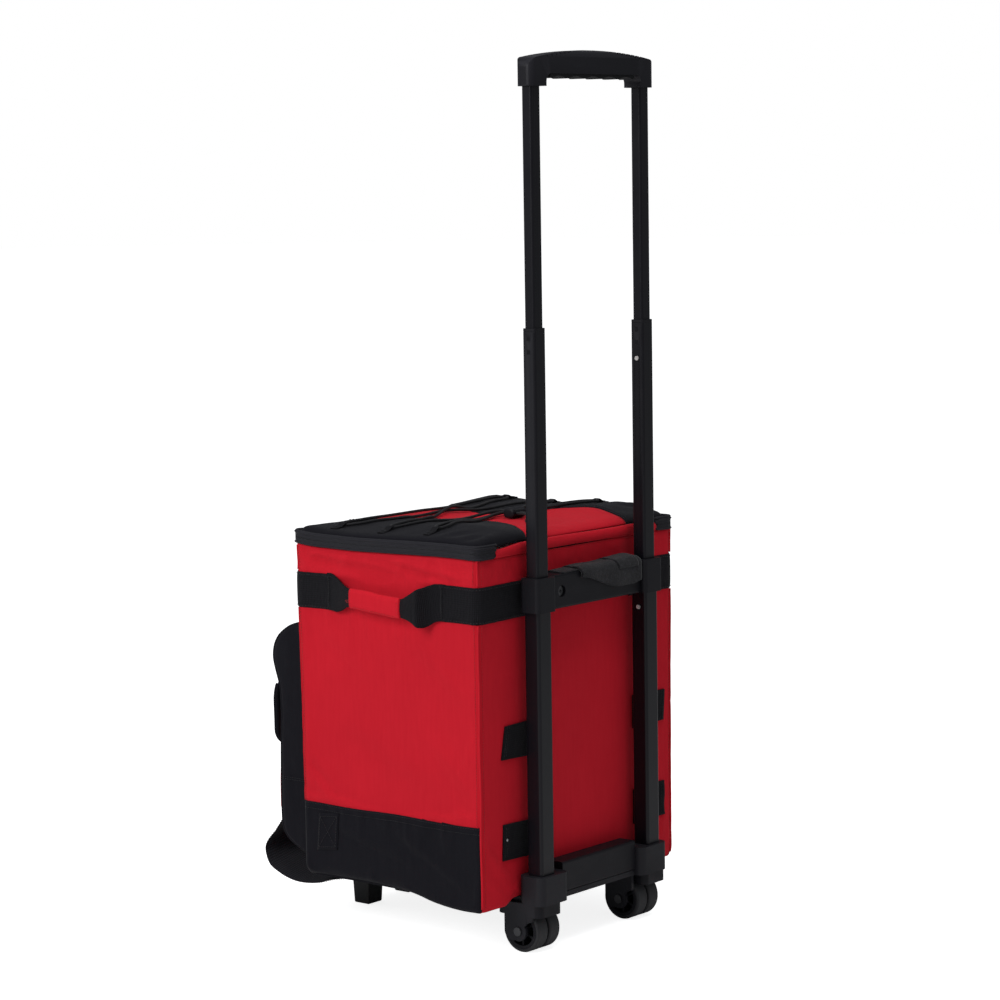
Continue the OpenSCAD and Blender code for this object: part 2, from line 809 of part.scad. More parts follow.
// Tube swept through a path's own points
function unit(v) = v / norm(v);
function heading(path, i) = unit(path[min(i + 1, len(path) - 1)] - path[max(i - 1, 0)]);
module sweep(path, r, sides) {
    n = len(path);
    points = [for (i = [0 : n - 1]) let (d = heading(path, i), s = unit(cross(d, [0, 0, 1])), u = cross(s, d))
        for (k = [0 : sides - 1]) path[i] + r * (cos(360 * k / sides) * s + sin(360 * k / sides) * u)];
    walls = [for (i = [0 : n - 2], k = [0 : sides - 1]) let (j = (k + 1) % sides)
        [i * sides + k, i * sides + j, (i + 1) * sides + j, (i + 1) * sides + k]];
    polyhedron(points, concat([[for (k = [sides - 1 : -1 : 0]) k]], walls,
        [[for (k = [0 : sides - 1]) (n - 1) * sides + k]]));
}

// One half of the cord's route. The second half crosses over the first wherever they meet at X = 0.
function cord_side(s) = [for (p = cord_half)
    [s * p[0], p[1], cord_z + p[2] + (s < 0 && p[0] == 0 ? cross_rise : 0)]];
function reversed(list) = [for (i = [len(list) - 1 : -1 : 0]) list[i]];

module bungee_cord() {
    path = concat(cord_side(1), [[0, cord_half[len(cord_half) - 1][1], cord_z]], reversed(cord_side(-1)));
    color("#0b0b0d") sweep(path, cord_r, 8);
}

module cord_lock() {
    color("#141518") translate(lock_at) difference() {
        along_y([-lock_s[1] / 2, lock_s[1] / 2]) translate([-3, 0]) rrect(lock_s[0], lock_s[2], 4);
        for (x = lock_bores) rod_y([-lock_s[1], lock_s[1]], [x, 0], lock_bore_r);
        rod_x([-lock_s[0], lock_floor_x], [0, 0], plunger_r + 0.4);
    }
}

module lock_button() {
    color("#1d1e22") translate(lock_at)
        rod_x([-3 - lock_s[0] / 2 - plunger_out, lock_floor_x - lock_gap], [0, 0], plunger_r);
}

// Coil spring that holds the lock's button out
module lock_spring() {
    turns = 3;
    pitch = (lock_gap - 2 * spring_wire) / turns;
    path = [for (a = [0 : 30 : 360 * turns])
        [3 * cos(a), 3 * sin(a), spring_wire + pitch * a / 360]];
    color("#c9cbd0") translate(lock_at) translate([lock_floor_x - lock_gap, 0, 0]) rotate([0, 90, 0])
        sweep(path, spring_wire / 2, 6);
}

bracket_left();
bracket_right();
base_crossbar();
base_deck();
front_feet();
wheel_axles();
outer_tube_left();
outer_tube_right();
outer_bushes();
upper_bracket();
frame_bolts();
middle_tube_left();
middle_tube_right();
middle_bushes();
middle_plugs();
middle_catches();
inner_tube_left();
inner_tube_right();
inner_plugs();
inner_catches();
grip_shell();
grip_insert();
grip_rivets();
wheel_core_left();
wheel_core_right();
tyres_left();
tyres_right();
bag_shell();
stiffener_boards();
foam_insulation();
bag_liner();
lower_side_panels();
corner_piping();
webbing_front();
webbing_rear();
side_handle_left();
side_handle_right();
handle_sleeves();
tube_tabs();
base_patches();
front_pocket();
pocket_zip();
pocket_slider();
lower_pocket();
pocket_flap();
front_strap_loops();
crossbar_wrap();
rim_zip();
rim_slider_left();
rim_slider_right();
hinge_fold();
lid_zip();
lid_cover();
lid_foam();
lid_liner();
cord_loops();
bungee_cord();
cord_lock();
lock_button();
lock_spring();
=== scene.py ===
"""Soft-sided cooler bag on a two-wheel trolley with a telescopic handle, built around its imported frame.

Lengths inside the functions are in millimetres and become metres when a mesh is made.
+X is the bag's left side, +Y the handle side, -Y the pocket side, Z up.
"""
import math
import bmesh
import bpy
import numpy as np
from mathutils import Matrix, Vector, noise


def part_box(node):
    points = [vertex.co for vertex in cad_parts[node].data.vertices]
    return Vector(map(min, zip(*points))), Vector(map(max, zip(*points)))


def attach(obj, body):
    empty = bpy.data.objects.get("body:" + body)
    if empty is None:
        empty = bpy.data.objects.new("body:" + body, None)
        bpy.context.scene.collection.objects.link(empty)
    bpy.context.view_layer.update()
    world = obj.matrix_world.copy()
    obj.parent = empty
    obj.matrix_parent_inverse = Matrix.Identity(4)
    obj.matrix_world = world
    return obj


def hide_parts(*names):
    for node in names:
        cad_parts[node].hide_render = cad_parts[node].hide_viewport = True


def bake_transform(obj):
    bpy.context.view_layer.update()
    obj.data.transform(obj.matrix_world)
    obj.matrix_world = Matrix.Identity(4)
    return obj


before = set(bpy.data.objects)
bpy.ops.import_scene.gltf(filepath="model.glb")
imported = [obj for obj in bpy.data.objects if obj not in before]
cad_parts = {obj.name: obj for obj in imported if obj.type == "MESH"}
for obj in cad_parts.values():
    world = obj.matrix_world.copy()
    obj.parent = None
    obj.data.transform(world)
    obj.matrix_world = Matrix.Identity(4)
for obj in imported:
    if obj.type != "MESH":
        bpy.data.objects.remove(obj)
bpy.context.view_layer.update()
MM = 0.001
SIDES = (("left", 1), ("right", -1))


def cad(node):
    """Lowest and highest corner of a CAD node, in millimetres."""
    low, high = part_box(node)
    return np.array(low) / MM, np.array(high) / MM


# ---------------------------------------------------------------- places read from the frame

BAG_LO, BAG_HI = cad("bag_shell")
BAG_HW = BAG_HI[0]
BAG_R = 8.0
BAND_LO, BAND_HI = cad("webbing_front")
BAND_Z = (BAND_LO[2], BAND_HI[2])
LID_ZIP_HI = cad("lid_zip")[1]
LID_LO, LID_HI = cad("lid_cover")
FOLD_LO, FOLD_HI = cad("hinge_fold")
SEAM_Z = cad("lower_side_panels")[1][2]
POCKET_LO, POCKET_HI = cad("front_pocket")
POUCH_LO, POUCH_HI = cad("lower_pocket")
FLAP_LO, FLAP_HI = cad("pocket_flap")
WRAP_HI = cad("crossbar_wrap")[1]
CLAMP_HI = cad("upper_bracket")[1]
LOCK_LO, LOCK_HI = cad("cord_lock")
HANDLE_LO, HANDLE_HI = cad("side_handle_left")


# ---------------------------------------------------------------- small numeric helpers

def smooth(a, b, x):
    """0 below a, 1 above b, smooth between."""
    t = np.clip((np.asarray(x, float) - a) / (b - a), 0, 1)
    return t * t * (3 - 2 * t)


def bell(x, at, width):
    return np.exp(-((np.asarray(x, float) - at) / width) ** 2)


def cubic(t, h, a, slope_a, b, slope_b):
    """Value at share t of a span h long, from the values and slopes at its two ends."""
    return ((2 * t**3 - 3 * t**2 + 1) * a + (t**3 - 2 * t**2 + t) * h * slope_a
            + (3 * t**2 - 2 * t**3) * b + (t**3 - t**2) * h * slope_b)


def curve_through(xs, ys, x):
    """Smooth curve through a few given points (Catmull-Rom on uneven knots)."""
    xs, ys, x = np.asarray(xs, float), np.asarray(ys, float), np.asarray(x, float)
    slope = np.gradient(ys, xs)
    x = np.clip(x, xs[0], xs[-1])
    i = np.clip(np.searchsorted(xs, x) - 1, 0, len(xs) - 2)
    h = xs[i + 1] - xs[i]
    t = (x - xs[i]) / h
    return cubic(t, h, ys[i], slope[i], ys[i + 1], slope[i + 1])


def surface_through(xs, ys, table, x, y):
    """Smooth height field through a small table: rows follow ys, columns follow xs."""
    x, y = np.broadcast_arrays(np.asarray(x, float), np.asarray(y, float))
    rows = [curve_through(xs, row, x) for row in table]
    rows = np.stack(rows, 0)
    ys = np.asarray(ys, float)
    slope = np.gradient(rows, ys, axis=0)
    y = np.clip(y, ys[0], ys[-1])
    i = np.clip(np.searchsorted(ys, y) - 1, 0, len(ys) - 2)
    h = ys[i + 1] - ys[i]
    t = (y - ys[i]) / h

    def pick(a, k):
        return np.take_along_axis(a, k[None], 0)[0]

    return cubic(t, h, pick(rows, i), pick(slope, i), pick(rows, i + 1), pick(slope, i + 1))


def ripple(x, y, scale, seed, octaves=3):
    """Smooth noise of about -1 to 1 over arrays, in steps of scale millimetres."""
    x, y = np.broadcast_arrays(np.asarray(x, float), np.asarray(y, float))
    out = np.empty(x.size)
    for k, (a, b) in enumerate(zip(x.ravel(), y.ravel())):
        out[k] = noise.fractal(Vector((a / scale, b / scale, seed * 7.31)), 0.6, 2.0, octaves)
    return out.reshape(x.shape)


def unit(v):
    v = np.asarray(v, float)
    return v / np.maximum(np.linalg.norm(v, axis=-1, keepdims=True), 1e-9)


def resample(points, step):
    """Points along a smooth curve through the given ones, about step apart."""
    p = np.asarray(points, float)
    t = run_length(p)
    n = max(2, int(round(t[-1] / step)) + 1)
    s = np.linspace(0, t[-1], n)
    return np.stack([curve_through(t, p[:, k], s) for k in range(p.shape[1])], 1)


def run_length(points):
    """Distance along a line of points, at each of them."""
    return np.concatenate([[0], np.cumsum(np.linalg.norm(np.diff(points, axis=0), axis=1))])


def between(s, t, values):
    """Rows of three values at distances s, read off a line whose points lie at distances t."""
    return np.stack([np.interp(s, t, values[:, k]) for k in range(3)], -1)


def round_angles(count):
    """Angles evenly round a circle."""
    return np.linspace(0, 2 * np.pi, count + 1)[:-1]


def squared(wave, power):
    """A sine or cosine drawn out towards a square."""
    return np.sign(wave) * np.abs(wave) ** power


def zigzag(count, reach):
    return np.where(np.arange(count) % 2 == 0, -reach, reach)


def headings(path):
    return unit(np.gradient(np.asarray(path, float), axis=0))


# ---------------------------------------------------------------- meshes

def make(name, verts, faces, material, body, slot, uvs=None, extra=(), face_material=None):
    """Mesh object from millimetres, riding on a body. uvs are per vertex, in metres."""
    mesh = bpy.data.meshes.new(name)
    verts = np.asarray(verts, float) * MM
    mesh.from_pydata([tuple(v) for v in verts], [], [tuple(int(i) for i in f) for f in faces])
    for m in (material, *extra):
        mesh.materials.append(m)
    if face_material is not None:
        mesh.polygons.foreach_set("material_index", np.asarray(face_material, np.int32))
    if uvs is not None:
        layer = mesh.uv_layers.new(name="weave")
        corner = np.empty(len(mesh.loops), np.int32)
        mesh.loops.foreach_get("vertex_index", corner)
        layer.data.foreach_set("uv", (np.asarray(uvs, float) * MM)[corner].ravel())
    mesh.polygons.foreach_set("use_smooth", np.full(len(mesh.polygons), True))
    mesh.validate()
    mesh.update()
    ob = bpy.data.objects.new(name, mesh)
    bpy.context.scene.collection.objects.link(ob)
    if body:
        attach(ob, body)
    return ob


def grid_faces(rows, cols, wrap=False, flip=False, start=0):
    last = cols if wrap else cols - 1
    out = []
    for r in range(rows - 1):
        for c in range(last):
            d = (c + 1) % cols
            quad = (start + r * cols + c, start + r * cols + d,
                    start + (r + 1) * cols + d, start + (r + 1) * cols + c)
            out.append(quad[::-1] if flip else quad)
    return out


def slab(name, outer, inner, material, body, slot, uv=None, **more):
    """Closed sheet between two equal grids of points (rows, cols, 3)."""
    rows, cols = outer.shape[:2]
    n = rows * cols
    verts = np.concatenate([outer.reshape(-1, 3), inner.reshape(-1, 3)])
    faces = grid_faces(rows, cols) + grid_faces(rows, cols, flip=True, start=n)
    rim = list(range(cols)) + [r * cols + cols - 1 for r in range(1, rows)]
    rim += [(rows - 1) * cols + c for c in range(cols - 2, -1, -1)]
    rim += [r * cols for r in range(rows - 2, 0, -1)]
    for k, a in enumerate(rim):
        b = rim[(k + 1) % len(rim)]
        faces.append((b, a, a + n, b + n))
    if uv is None:
        u = np.concatenate([np.zeros((rows, 1)),
                            np.cumsum(np.linalg.norm(np.diff(outer, axis=1), axis=2), 1)], 1)
        v = np.concatenate([np.zeros((1, cols)),
                            np.cumsum(np.linalg.norm(np.diff(outer, axis=0), axis=2), 0)], 0)
        uv = np.stack([u, v], -1)
    uv = uv.reshape(-1, 2)
    return make(name, verts, faces, material, body, slot, uvs=np.concatenate([uv, uv]), **more)


def thick(name, outer, normals, t, material, body, slot, **more):
    """Closed sheet of thickness t under a grid of points."""
    return slab(name, outer, outer - normals * t, material, body, slot, **more)


def leaf(name, grid, half, material, body, slot):
    """Closed sheet standing half its thickness out on each side of a grid of points."""
    out = grid_normals(grid) * half
    return fix_normals(slab(name, grid + out, grid - out, material, body, slot))


def ring(point, out, off, z):
    """The outline moved outwards by off, at height z."""
    p = point + out * off
    p[:, 2] = z
    return p


def facing(outer, out, sign):
    """A side piece's points and normals, turned round on the right so that it still faces outwards."""
    return (outer, out) if sign > 0 else (outer[:, ::-1], out[:, ::-1])


def strap(name, path, across, width, t, material, body, slot, cols=9, **more):
    """Webbing along a path. across is each point's direction over the width."""
    path = np.asarray(path, float)
    across = unit(np.broadcast_to(np.asarray(across, float), path.shape))
    width = np.broadcast_to(np.asarray(width, float), (len(path),))
    out = unit(np.cross(headings(path), across))
    k = np.linspace(-1, 1, cols)
    crown = 0.5 * t * np.sqrt(np.maximum(0, 1 - np.abs(k) ** 6))
    mid = path[:, None] + across[:, None] * (k[None, :, None] * width[:, None, None] / 2)
    outer = mid + out[:, None] * crown[None, :, None]
    inner = mid - out[:, None] * crown[None, :, None]
    return slab(name, outer, inner, material, body, slot, **more)


def tube_verts(path, radius, sides, start=0):
    """Vertices, faces and uvs of a round tube along a path, with closed ends."""
    path = np.asarray(path, float)
    n = len(path)
    radius = np.broadcast_to(np.asarray(radius, float), (n,))
    h = headings(path)
    side = np.cross(h[0], (0, 0, 1) if abs(h[0][2]) < 0.9 else (1, 0, 0))
    frames = []
    for i in range(n):
        side = unit(side - h[i] * np.dot(side, h[i]))
        frames.append((side, np.cross(side, h[i])))
    a = 2 * np.pi * np.arange(sides) / sides
    verts = np.stack([path[i] + radius[i] * (np.cos(a)[:, None] * f[0] + np.sin(a)[:, None] * f[1])
                      for i, f in enumerate(frames)]).reshape(-1, 3)
    along = run_length(path)
    uv = np.stack([np.tile(a / (2 * np.pi) * 2 * np.pi * radius.mean(), n), np.repeat(along, sides)], 1)
    faces = [tuple(start + i for i in f) for f in grid_faces(n, sides, wrap=True, flip=True)]
    faces.append(tuple(start + k for k in range(sides)))
    faces.append(tuple(start + (n - 1) * sides + k for k in range(sides - 1, -1, -1)))
    return verts, faces, uv


def tube(name, path, radius, material, body, slot, sides=10):
    verts, faces, uv = tube_verts(path, radius, sides)
    return make(name, verts, faces, material, body, slot, uvs=uv)


def stitches(name, lines, material, body, slot, length=2.6, space=0.9, radius=0.28, lift=0.12):
    """Thread stitches along lines; each line is (points, normals)."""
    verts, faces, uvs = [], [], []
    shape_r = np.array([0.25, 0.85, 1.0, 0.85, 0.25])
    for points, normals in lines:
        p = np.asarray(points, float)
        nrm = unit(np.broadcast_to(np.asarray(normals, float), p.shape))
        t = run_length(p)
        count = int(t[-1] // (length + space))
        if count < 1:
            continue
        pitch = t[-1] / count
        for i in range(count):
            s = i * pitch + space / 2 + (pitch - space) * np.linspace(0, 1, 5)
            rise = lift + radius * np.sin(np.linspace(0, np.pi, 5))
            arch = between(s, t, p) + between(s, t, nrm) * rise[:, None]
            v, f, uv = tube_verts(arch, radius * shape_r, 6, start=sum(len(x) for x in verts))
            verts.append(v)
            faces += f
            uvs.append(uv)
    return make(name, np.concatenate(verts), faces, material, body, slot, uvs=np.concatenate(uvs))


def soften(ob):
    """One level of subdivision on a soft piece."""
    s = ob.modifiers.new("smooth", "SUBSURF")
    s.levels = s.render_levels = 1


def fix_normals(ob):
    bm = bmesh.new()
    bm.from_mesh(ob.data)
    bmesh.ops.recalc_face_normals(bm, faces=bm.faces)
    bm.to_mesh(ob.data)
    bm.free()
    return ob


def bevel(ob, width, segments=2, weld=False, angle=32):
    """Rounded edges, with flat faces kept flat."""
    if weld:
        ob.modifiers.new("weld", "WELD").merge_threshold = 0.00002
    b = ob.modifiers.new("edge", "BEVEL")
    b.width, b.segments, b.limit_method, b.angle_limit = width * MM, segments, "ANGLE", math.radians(angle)
    b.use_clamp_overlap = True
    w = ob.modifiers.new("normals", "WEIGHTED_NORMAL")
    w.keep_sharp = False
    return ob


def loft(name, sections, material, body, slot):
    """Closed loops of equal length joined into one skin, with flat ends."""
    sections = np.asarray(sections, float)
    rows, cols = sections.shape[:2]
    verts = sections.reshape(-1, 3)
    faces = grid_faces(rows, cols, wrap=True)
    step = np.linalg.norm(np.diff(sections, axis=1, append=sections[:, :1]), axis=2)
    u = np.cumsum(step, 1) - step
    climb = np.linalg.norm(np.diff(sections, axis=0), axis=2)
    v = np.concatenate([np.zeros((1, cols)), np.cumsum(climb, 0)], 0)
    uv = np.stack([u, v], -1).reshape(-1, 2)
    verts = np.concatenate([verts, sections[:1].mean(1), sections[-1:].mean(1)])
    uv = np.concatenate([uv, uv[:1], uv[-1:]])
    a, b = rows * cols, rows * cols + 1
    faces += [((c + 1) % cols, c, a) for c in range(cols)]
    faces += [((rows - 1) * cols + c, (rows - 1) * cols + (c + 1) % cols, b) for c in range(cols)]
    return fix_normals(make(name, verts, faces, material, body, slot, uvs=uv))


def grid_normals(points):
    """Unit normals of a grid of points."""
    return unit(np.cross(np.gradient(points, axis=1), np.gradient(points, axis=0)))


def sample(field, row, col):
    """Smooth value of a field at fractional rows and columns; columns wrap round."""
    rows, cols = field.shape

    def weights(t):
        return (-0.5 * t**3 + t**2 - 0.5 * t, 1.5 * t**3 - 2.5 * t**2 + 1,
                -1.5 * t**3 + 2 * t**2 + 0.5 * t, 0.5 * t**3 - 0.5 * t**2)

    r0, c0 = np.floor(row).astype(int), np.floor(col).astype(int)
    total = 0
    for i, wr in zip(range(-1, 3), weights(row - r0)):
        for j, wc in zip(range(-1, 3), weights(col - c0)):
            total = total + wr * wc * field[np.clip(r0 + i, 0, rows - 1), (c0 + j) % cols]
    return total


# ---------------------------------------------------------------- materials

def tinted(colour, gain, lift=0.0):
    """A colour made darker or lighter."""
    return tuple(gain * c + lift for c in colour)


class Paint:
    """One procedural material, built node by node."""

    def __init__(self, name, rough=0.6, **sockets):
        self.material = bpy.data.materials.new(name)
        self.material.use_nodes = True
        self.nodes = self.material.node_tree.nodes
        self.links = self.material.node_tree.links
        self.shader = self.nodes["Principled BSDF"]
        self.shader.inputs["Roughness"].default_value = rough
        for key, value in sockets.items():
            self.shader.inputs[key.replace("_", " ")].default_value = value

    def add(self, kind, settings=(), **inputs):
        node = self.nodes.new("ShaderNode" + kind)
        for key, value in dict(settings).items():
            setattr(node, key, value)
        for key, value in inputs.items():
            self.put(node.inputs[key.replace("_", " ")], value)
        return node

    def put(self, socket, value):
        if isinstance(value, bpy.types.NodeSocket):
            self.links.new(value, socket)
        else:
            socket.default_value = value

    def math(self, operation, a, b=0.0):
        node = self.nodes.new("ShaderNodeMath")
        node.operation = operation
        self.put(node.inputs[0], a)
        self.put(node.inputs[1], b)
        return node.outputs[0]

    def times(self, a, b):
        return self.math("MULTIPLY", a, b)

    def place(self, kind="Object"):
        return self.add("TexCoord").outputs[kind]

    def axes(self, vector):
        return self.add("SeparateXYZ", Vector=vector).outputs

    def noise(self, scale, vector=None, detail=3.0, rough=0.5, stretch=None):
        vector = vector or self.place()
        if stretch:
            vector = self.add("Mapping", Vector=vector, Scale=stretch).outputs[0]
        return self.add("TexNoise", Vector=vector, Scale=scale, Detail=detail, Roughness=rough).outputs["Fac"]

    def ridge(self, along, pitch):
        """Rounded ridges of a given pitch, 0 in the grooves and 1 on top."""
        return self.math("ABSOLUTE", self.math("SINE", self.times(along, math.pi / pitch)))

    def mask(self, fac, low, high, top=1.0):
        """0 where fac is under low, and top where it is over high."""
        ramp = self.nodes.new("ShaderNodeValToRGB")
        first, last = ramp.color_ramp.elements
        first.position, last.position = low, high
        first.color, last.color = (0, 0, 0, 1), (top, top, top, 1)
        self.links.new(fac, ramp.inputs[0])
        return ramp.outputs[0]

    def blend(self, fac, a, b):
        node = self.nodes.new("ShaderNodeMix")
        node.data_type, node.blend_type = "RGBA", "MIX"
        self.put(node.inputs[0], fac)
        for socket, value in ((node.inputs[6], a), (node.inputs[7], b)):
            self.put(socket, (*value, 1) if isinstance(value, tuple) else value)
        return node.outputs[2]

    def spread(self, fac, low, high):
        return self.add("MapRange", Value=fac, To_Min=low, To_Max=high).outputs[0]

    def finish(self, colour=None, rough=None, bumps=()):
        if colour is not None:
            self.put(self.shader.inputs["Base Color"], colour)
        if rough is not None:
            self.put(self.shader.inputs["Roughness"], rough)
        normal = None
        for height, strength, distance in bumps:
            node = self.add("Bump", Height=height, Strength=strength, Distance=distance)
            if normal:
                self.links.new(normal, node.inputs["Normal"])
            normal = node.outputs[0]
        if normal:
            self.links.new(normal, self.shader.inputs["Normal"])
        return self.material


def woven_fabric(name, colour, pitch=0.0009, sheen=0.02, rough=0.78):
    """Plain-woven polyester: thread grid, faint slubs, soft colour drift, a little dust, and a faint painted
    highlight on the crossings where one thread lies on top.
    """
    p = Paint(name, rough, Sheen_Weight=sheen, Sheen_Roughness=0.45, Specular_IOR_Level=0.08)
    u, v, _ = p.axes(p.place("UV"))
    threads = p.times(p.ridge(u, pitch), p.ridge(v, pitch * 0.9))
    # painted highlight: the crossings where one thread lies on top get a lighter copy of the colour
    thread_highlight = p.times(p.math("SINE", p.times(u, math.pi / pitch)),
                    p.math("SINE", p.times(v, math.pi / (pitch * 0.9))))
    slubs = p.noise(260, stretch=(1, 1, 0.12), detail=2)
    drift = p.noise(7, detail=4)
    dark, light = tinted(colour, 0.80), tinted(colour, 1.16)
    base = p.blend(p.spread(drift, 0, 1), dark, light)
    base = p.blend(p.times(p.math("ADD", thread_highlight, 1), 0.11), base, tinted(colour, 1.5, 0.001))
    base = p.blend(p.times(slubs, 0.22), base, tinted(colour, 0.55))
    dust = p.mask(p.noise(38, detail=6, rough=0.7), 0.66, 0.86, 0.03)
    base = p.blend(dust, base, tinted(colour, 1.8, 0.01))
    creases = p.noise(16, detail=5, rough=0.55)
    return p.finish(base, p.spread(slubs, rough - 0.08, rough + 0.1),
                    [(creases, 0.22, 0.004), (slubs, 0.12, 0.0004), (threads, 0.4, 0.00022)])


def webbing_cloth(name, colour, rib=0.0021):
    """Woven strap: ribs across its length, crossed by fine threads, with a fuzzy edge sheen, and painted
    shade in the rib grooves with painted highlight on the rib tops.
    """
    p = Paint(name, 0.75, Sheen_Weight=0.02, Sheen_Roughness=0.4, Specular_IOR_Level=0.14)
    u, v, _ = p.axes(p.place("UV"))
    ribs = p.math("POWER", p.ridge(v, rib), 0.7)
    threads = p.ridge(u, 0.0008)
    height = p.math("ADD", ribs, p.times(threads, 0.35))
    fuzz = p.noise(420, detail=2)
    # painted shade and highlight: a dark copy of the colour in the rib grooves, a light copy on the rib tops
    lit_rib_tops = p.times(ribs, p.math("POWER", p.ridge(u, 0.0024), 0.8))
    base = p.blend(lit_rib_tops, tinted(colour, 0.18), tinted(colour, 3.4))
    base = p.blend(p.times(fuzz, 0.3), base, tinted(colour, 2.2))
    base = p.blend(p.times(p.noise(9), 0.35), base, tinted(colour, 0.6))
    return p.finish(base, p.spread(fuzz, 0.6, 0.85), [(height, 0.8, 0.0007), (fuzz, 0.15, 0.0003)])


def zip_cloth(name, colour):
    """Zip tape: fine ribs along its length, with painted shade in their grooves and painted highlight on
    their tops.
    """
    p = Paint(name, 0.66, Sheen_Weight=0.04, Specular_IOR_Level=0.2)
    u, v, _ = p.axes(p.place("UV"))
    ribs = p.ridge(u, 0.0016)
    knit = p.ridge(v, 0.0009)
    # painted shade in the grooves and painted highlight on the ribs' tops
    base = p.blend(ribs, tinted(colour, 0.3), tinted(colour, 2.2))
    base = p.blend(p.times(p.noise(30), 0.4), base, tinted(colour, 1.6))
    height = p.math("ADD", ribs, p.times(knit, 0.4))
    return p.finish(base, p.spread(p.noise(60), 0.52, 0.72), [(height, 0.5, 0.00025)])


def fuzzy_loops(name, colour):
    """Loop side of a hook-and-loop strap."""
    p = Paint(name, 0.92, Sheen_Weight=0.12, Sheen_Roughness=0.6, Specular_IOR_Level=0.1)
    tufts = p.noise(900, detail=3, rough=0.7)
    clumps = p.noise(170, detail=3)
    specks = p.mask(p.noise(420, detail=2, rough=0.6), 0.52, 0.66)
    base = p.blend(tufts, tinted(colour, 0.4), tinted(colour, 1.8))
    base = p.blend(p.times(specks, 0.8), base, tinted(colour, 4.5))
    return p.finish(base, p.spread(clumps, 0.82, 0.98), [(clumps, 0.5, 0.001), (tufts, 0.8, 0.0006)])


def braided_cord(name, colour):
    """Elastic cord in a braided jacket, with painted shade in the braid's grooves and painted highlight on
    its crossings.
    """
    p = Paint(name, 0.6, Sheen_Weight=0.05, Specular_IOR_Level=0.25)
    u, v, _ = p.axes(p.place("UV"))
    one = p.ridge(p.math("ADD", u, p.times(v, 0.8)), 0.0013)
    two = p.ridge(p.math("SUBTRACT", u, p.times(v, 0.8)), 0.0013)
    braid = p.times(one, two)
    # painted shade in the braid's grooves, painted highlight on its crossings
    base = p.blend(braid, tinted(colour, 0.5), tinted(colour, 1.5))
    return p.finish(base, p.spread(p.noise(80), 0.5, 0.72), [(braid, 0.6, 0.0004)])


def moulded_plastic(name, colour, rough=0.5, grain=900, depth=0.00012, wear_and_highlight=1.0, drift=0.3):
    """Moulded plastic: fine spark texture, handling marks, and paler sharp edges, partly wear and partly
    painted highlight.
    """
    p = Paint(name, rough, Specular_IOR_Level=0.17)
    texture = p.noise(grain, detail=2)
    marks = p.noise(34, detail=6, rough=0.65)
    scuffs = p.mask(p.noise(120, detail=4, stretch=(0.3, 1, 1)), 0.62, 0.75)
    # paler sharp edges: partly wear, partly a painted highlight along the edges
    edges = p.mask(p.add("NewGeometry").outputs["Pointiness"], 0.51, 0.62)
    base = p.blend(p.times(marks, drift), colour, tinted(colour, 1.7, 0.002))
    base = p.blend(p.times(edges, 0.5 * wear_and_highlight), base, tinted(colour, 2.2, 0.012))
    base = p.blend(p.times(scuffs, 0.06), base, tinted(colour, 3, 0.02))
    return p.finish(base, p.spread(marks, rough - 0.09, rough + 0.12),
                    [(marks, 0.05, 0.001), (texture, 0.35, depth)])


def painted_metal(name, colour, rough=0.3):
    """Satin powder coat: faint orange peel, smudges and hairline scratches along the tube."""
    p = Paint(name, rough, Coat_Weight=0.02, Coat_Roughness=0.3, Specular_IOR_Level=0.2)
    peel = p.noise(700, detail=2)
    smudges = p.noise(22, detail=5, rough=0.6)
    scratches = p.mask(p.noise(60, detail=6, rough=0.8, stretch=(14, 14, 0.25)), 0.66, 0.72)
    edges = p.mask(p.add("NewGeometry").outputs["Pointiness"], 0.52, 0.66)
    base = p.blend(p.times(smudges, 0.3), colour, tinted(colour, 1.5))
    base = p.blend(p.times(scratches, 0.10), base, (0.10, 0.10, 0.11))
    base = p.blend(p.times(edges, 0.15), base, (0.09, 0.09, 0.10))
    return p.finish(base, p.spread(smudges, rough - 0.06, rough + 0.12),
                    [(peel, 0.10, 0.0001), (scratches, 0.12, 0.00005)])


def bare_metal(name, colour=(0.52, 0.52, 0.54), rough=0.32, metallic=1.0):
    p = Paint(name, rough, Metallic=metallic)
    grain = p.noise(300, detail=4, stretch=(1, 1, 0.2))
    spots = p.noise(90, detail=5)
    base = p.blend(spots, tinted(colour, 0.7), colour)
    return p.finish(base, p.spread(grain, rough - 0.1, rough + 0.15), [(grain, 0.15, 0.0001)])


def tyre_rubber(name, colour):
    """Tread rubber, matt, with dust in fine mould lines."""
    p = Paint(name, 0.75, Specular_IOR_Level=0.3)
    grit = p.noise(500, detail=4, rough=0.7)
    dust = p.mask(p.noise(45, detail=6, rough=0.7), 0.5, 0.8)
    base = p.blend(p.times(dust, 0.12), colour, (0.12, 0.11, 0.10))
    base = p.blend(p.times(grit, 0.3), base, tinted(colour, 1.8))
    return p.finish(base, p.spread(dust, 0.6, 0.85), [(grit, 0.3, 0.0002)])


def liner_film(name, colour=(0.62, 0.64, 0.66)):
    """Crinkled, slightly shiny film liner."""
    p = Paint(name, 0.32, Specular_IOR_Level=0.6, Coat_Weight=0.2)
    crinkle = p.add("TexVoronoi", {"feature": "F1"}, Vector=p.place(), Scale=42.0).outputs["Distance"]
    soft = p.noise(30, detail=5)
    base = p.blend(soft, tinted(colour, 0.85), colour)
    return p.finish(base, p.spread(soft, 0.24, 0.45), [(crinkle, 0.3, 0.002), (soft, 0.3, 0.002)])


